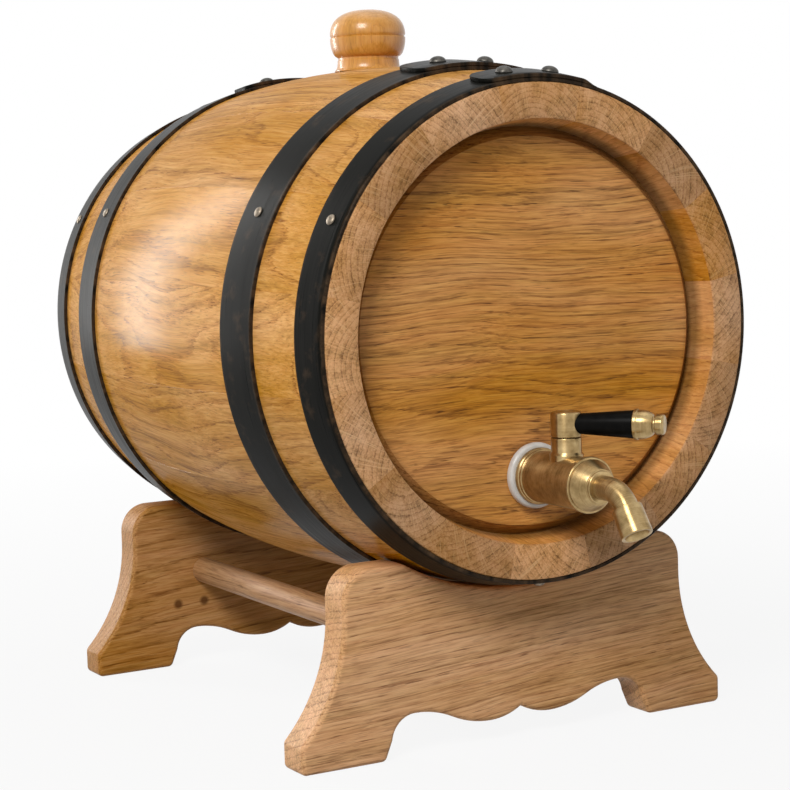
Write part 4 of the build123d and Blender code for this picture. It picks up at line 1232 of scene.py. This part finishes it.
# %% [markdown]
# ## The stand
# Two boards, cut to one pattern, carry the cask in their saddles, and two round stretchers hold them
# apart. The solids have their rounded edges already. The boards' grain runs from foot to foot, tilted a
# little as it is in a real plank, and the stretchers' grain runs along them. The pith lies well below the
# boards, so the rings cut across their faces and draw fine straight lines.

# %% Lay the grain in the stand
TILT = radians(3)
BOARD_AXES = ((-sin(TILT), 0.0, cos(TILT)), (cos(TILT), 0.0, sin(TILT)), (0.0, 1.0, 0.0))
BOARD_BELOW, BOARD_ASIDE = 0.09, 0.13
ROD_AXES = ((1.0, 0.0, 0.0), (0.0, 1.0, 0.0), (0.0, 0.0, 1.0))
ROD_ASIDE, ROD_TONE = 0.01, -0.8
# The rear board's darkest tone is painted shade under the cask.
for end, offset, tone, wood in (("front", 1.2, 0.7, stand_oak), ("rear", 2.3, -1.0, rear_board_oak)):
    origin = (BOARD_BELOW, offset, BOARD_ASIDE)
    lay(f"stand_{end}_board", BOARD_AXES, origin, tone, "stand", "stand_oak", wood)
for hand, offset in (("left", 5.0), ("right", 7.0)):
    origin = (ROD_ASIDE, offset, 0.0)
    lay(f"stand_{hand}_stretcher", ROD_AXES, origin, ROD_TONE, "stand", "stand_oak", stand_oak)
print("stand laid")

# %% [markdown]
# ## The pieces that hardly show
# Dowels, seals, the lock nut and the valve are inside the cask or the tap. Their solids stay, and get the
# same finishes as the pieces that show, so a cut model looks right too.

# %% Finishes for the hidden solids
hidden = (
    (stand_oak, ("front_head_dowels", "rear_head_dowels")),
    (seal_rubber, ("tap_inner_washer", "valve_o_ring")),
    (brass, ("tap_lock_nut", "valve_plug")),
    (screw_steel, ("valve_retaining_ring", "hub_grub_screw", "lever_stud")),
)
for material, nodes in hidden:
    for node in nodes:
        for slot in frame["nodes"][node].material_slots:
            slot.material = material
    print(material.name, "on", nodes)

# %% [markdown]
# ## Floor, world and light
# A product photographer sets a white table under a big soft light. The floor is pale, and what the
# camera sees of it mostly glows at plain white, wholly so further off, so it melts into the background
# but keeps a faint shadow. One large soft lamp stands high at the front left, a weaker one fills from the
# right, a tall one behind on the left draws the long sheen down the side of the cask, and a last one hangs
# above. The room is white to the camera and in the brass and the varnish, but it sheds little light of its
# own, so the lamps model the cask.

# %% Floor and world
FLOOR_REACH = 6.0
FLOOR_COLOUR = (0.5, 0.5, 0.5, 1)
WHITE = (1, 1, 1, 1)
GLOW_NEAR, GLOW_FAR = 250.0, 1100.0
LEAST_GLOW = 0.9
ROOM_LIGHT = 0.13


def seen(tree):
    """One for rays that come from the camera: straight, off a polished surface or through a clear one."""
    path = add(tree, "ShaderNodeLightPath").outputs
    sent_on = calc(tree, "MAXIMUM", path["Is Glossy Ray"], path["Is Transmission Ray"])
    return calc(tree, "MAXIMUM", path["Is Camera Ray"], sent_on)


corners = [(x * FLOOR_REACH, y * FLOOR_REACH, 0) for x, y in ((-1, -1), (1, -1), (1, 1), (-1, 1))]
floor_mesh = make_mesh("floor", corners, [(0, 1, 2, 3)])
floor = new_object("floor", floor_mesh)
floor_white, tree, shader = new_finish("floor_white", Base_Color=FLOOR_COLOUR, Roughness=0.9)
glow = made(tree, "ShaderNodeEmission", {"Color": WHITE, "Strength": 1.0})
far = length(tree, millimetres(tree))
share = times(tree, seen(tree), level(tree, far, GLOW_NEAR, GLOW_FAR, LEAST_GLOW, 1.0))
blend = made(tree, "ShaderNodeMixShader", {0: share, 1: shader.outputs[0], 2: glow})
surface = next(node for node in tree.nodes if node.type == "OUTPUT_MATERIAL")
tree.links.new(blend, surface.inputs["Surface"])
floor_mesh.materials.append(floor_white)
world = bpy.data.worlds.new("studio")
bpy.context.scene.world = world
world.use_nodes = True
tree = world.node_tree
sky = next(node for node in tree.nodes if node.type == "BACKGROUND")
sky.inputs["Color"].default_value = WHITE
tree.links.new(level(tree, seen(tree), 0.0, 1.0, ROOM_LIGHT, 1.0), sky.inputs["Strength"])
print("floor and world are white")

# %% Lamps
LAMP_COLOUR = (1.0, 0.985, 0.96)
# Where each lamp stands, its width and height, and its power
LAMPS = {
    "key": ((-1.35, -1.15, 1.6), (0.8, 0.8), 42.0),
    "fill": ((1.5, -1.7, 0.6), (1.2, 1.2), 2.5),
    "side": ((-0.7, 1.5, 0.45), (0.22, 1.4), 16.0),
    "top": ((0.2, 0.2, 2.0), (1.2, 1.2), 4.5),
}
for name, (place, size, power) in LAMPS.items():
    light = bpy.data.lights.new(name, "AREA")
    light.shape = "RECTANGLE"
    light.size, light.size_y = size
    light.energy = power
    light.color = LAMP_COLOUR
    lamp = new_object(name, light)
    lamp.location = place
    lamp.rotation_euler = (CASK - Vector(place)).to_track_quat("-Z", "Y").to_euler()
print("lamps:", list(LAMPS))

# %% [markdown]
# ## Camera
# The camera looks slightly down on the cask from the front left, with a long lens. Its place is given
# from the middle of the front rim.

# %% Camera
CAMERA_FROM_RIM = Vector((-547.62, -821.57, 72.04))
CAMERA_TURN = (84.2714, 1.7384, -29.7692)
front_rim = CASK - Vector((0, HALF_LENGTH, 0))
camera = new_object("camera", bpy.data.cameras.new("camera"))
camera.location = front_rim + CAMERA_FROM_RIM * MM
camera.rotation_euler = [radians(turn) for turn in CAMERA_TURN]
camera.data.sensor_width = 36.0
camera.data.lens = 97.333
camera.data.clip_start = 0.01
bpy.context.scene.camera = camera
bpy.context.scene.view_settings.view_transform = "Standard"
print("camera at", camera.location[:])
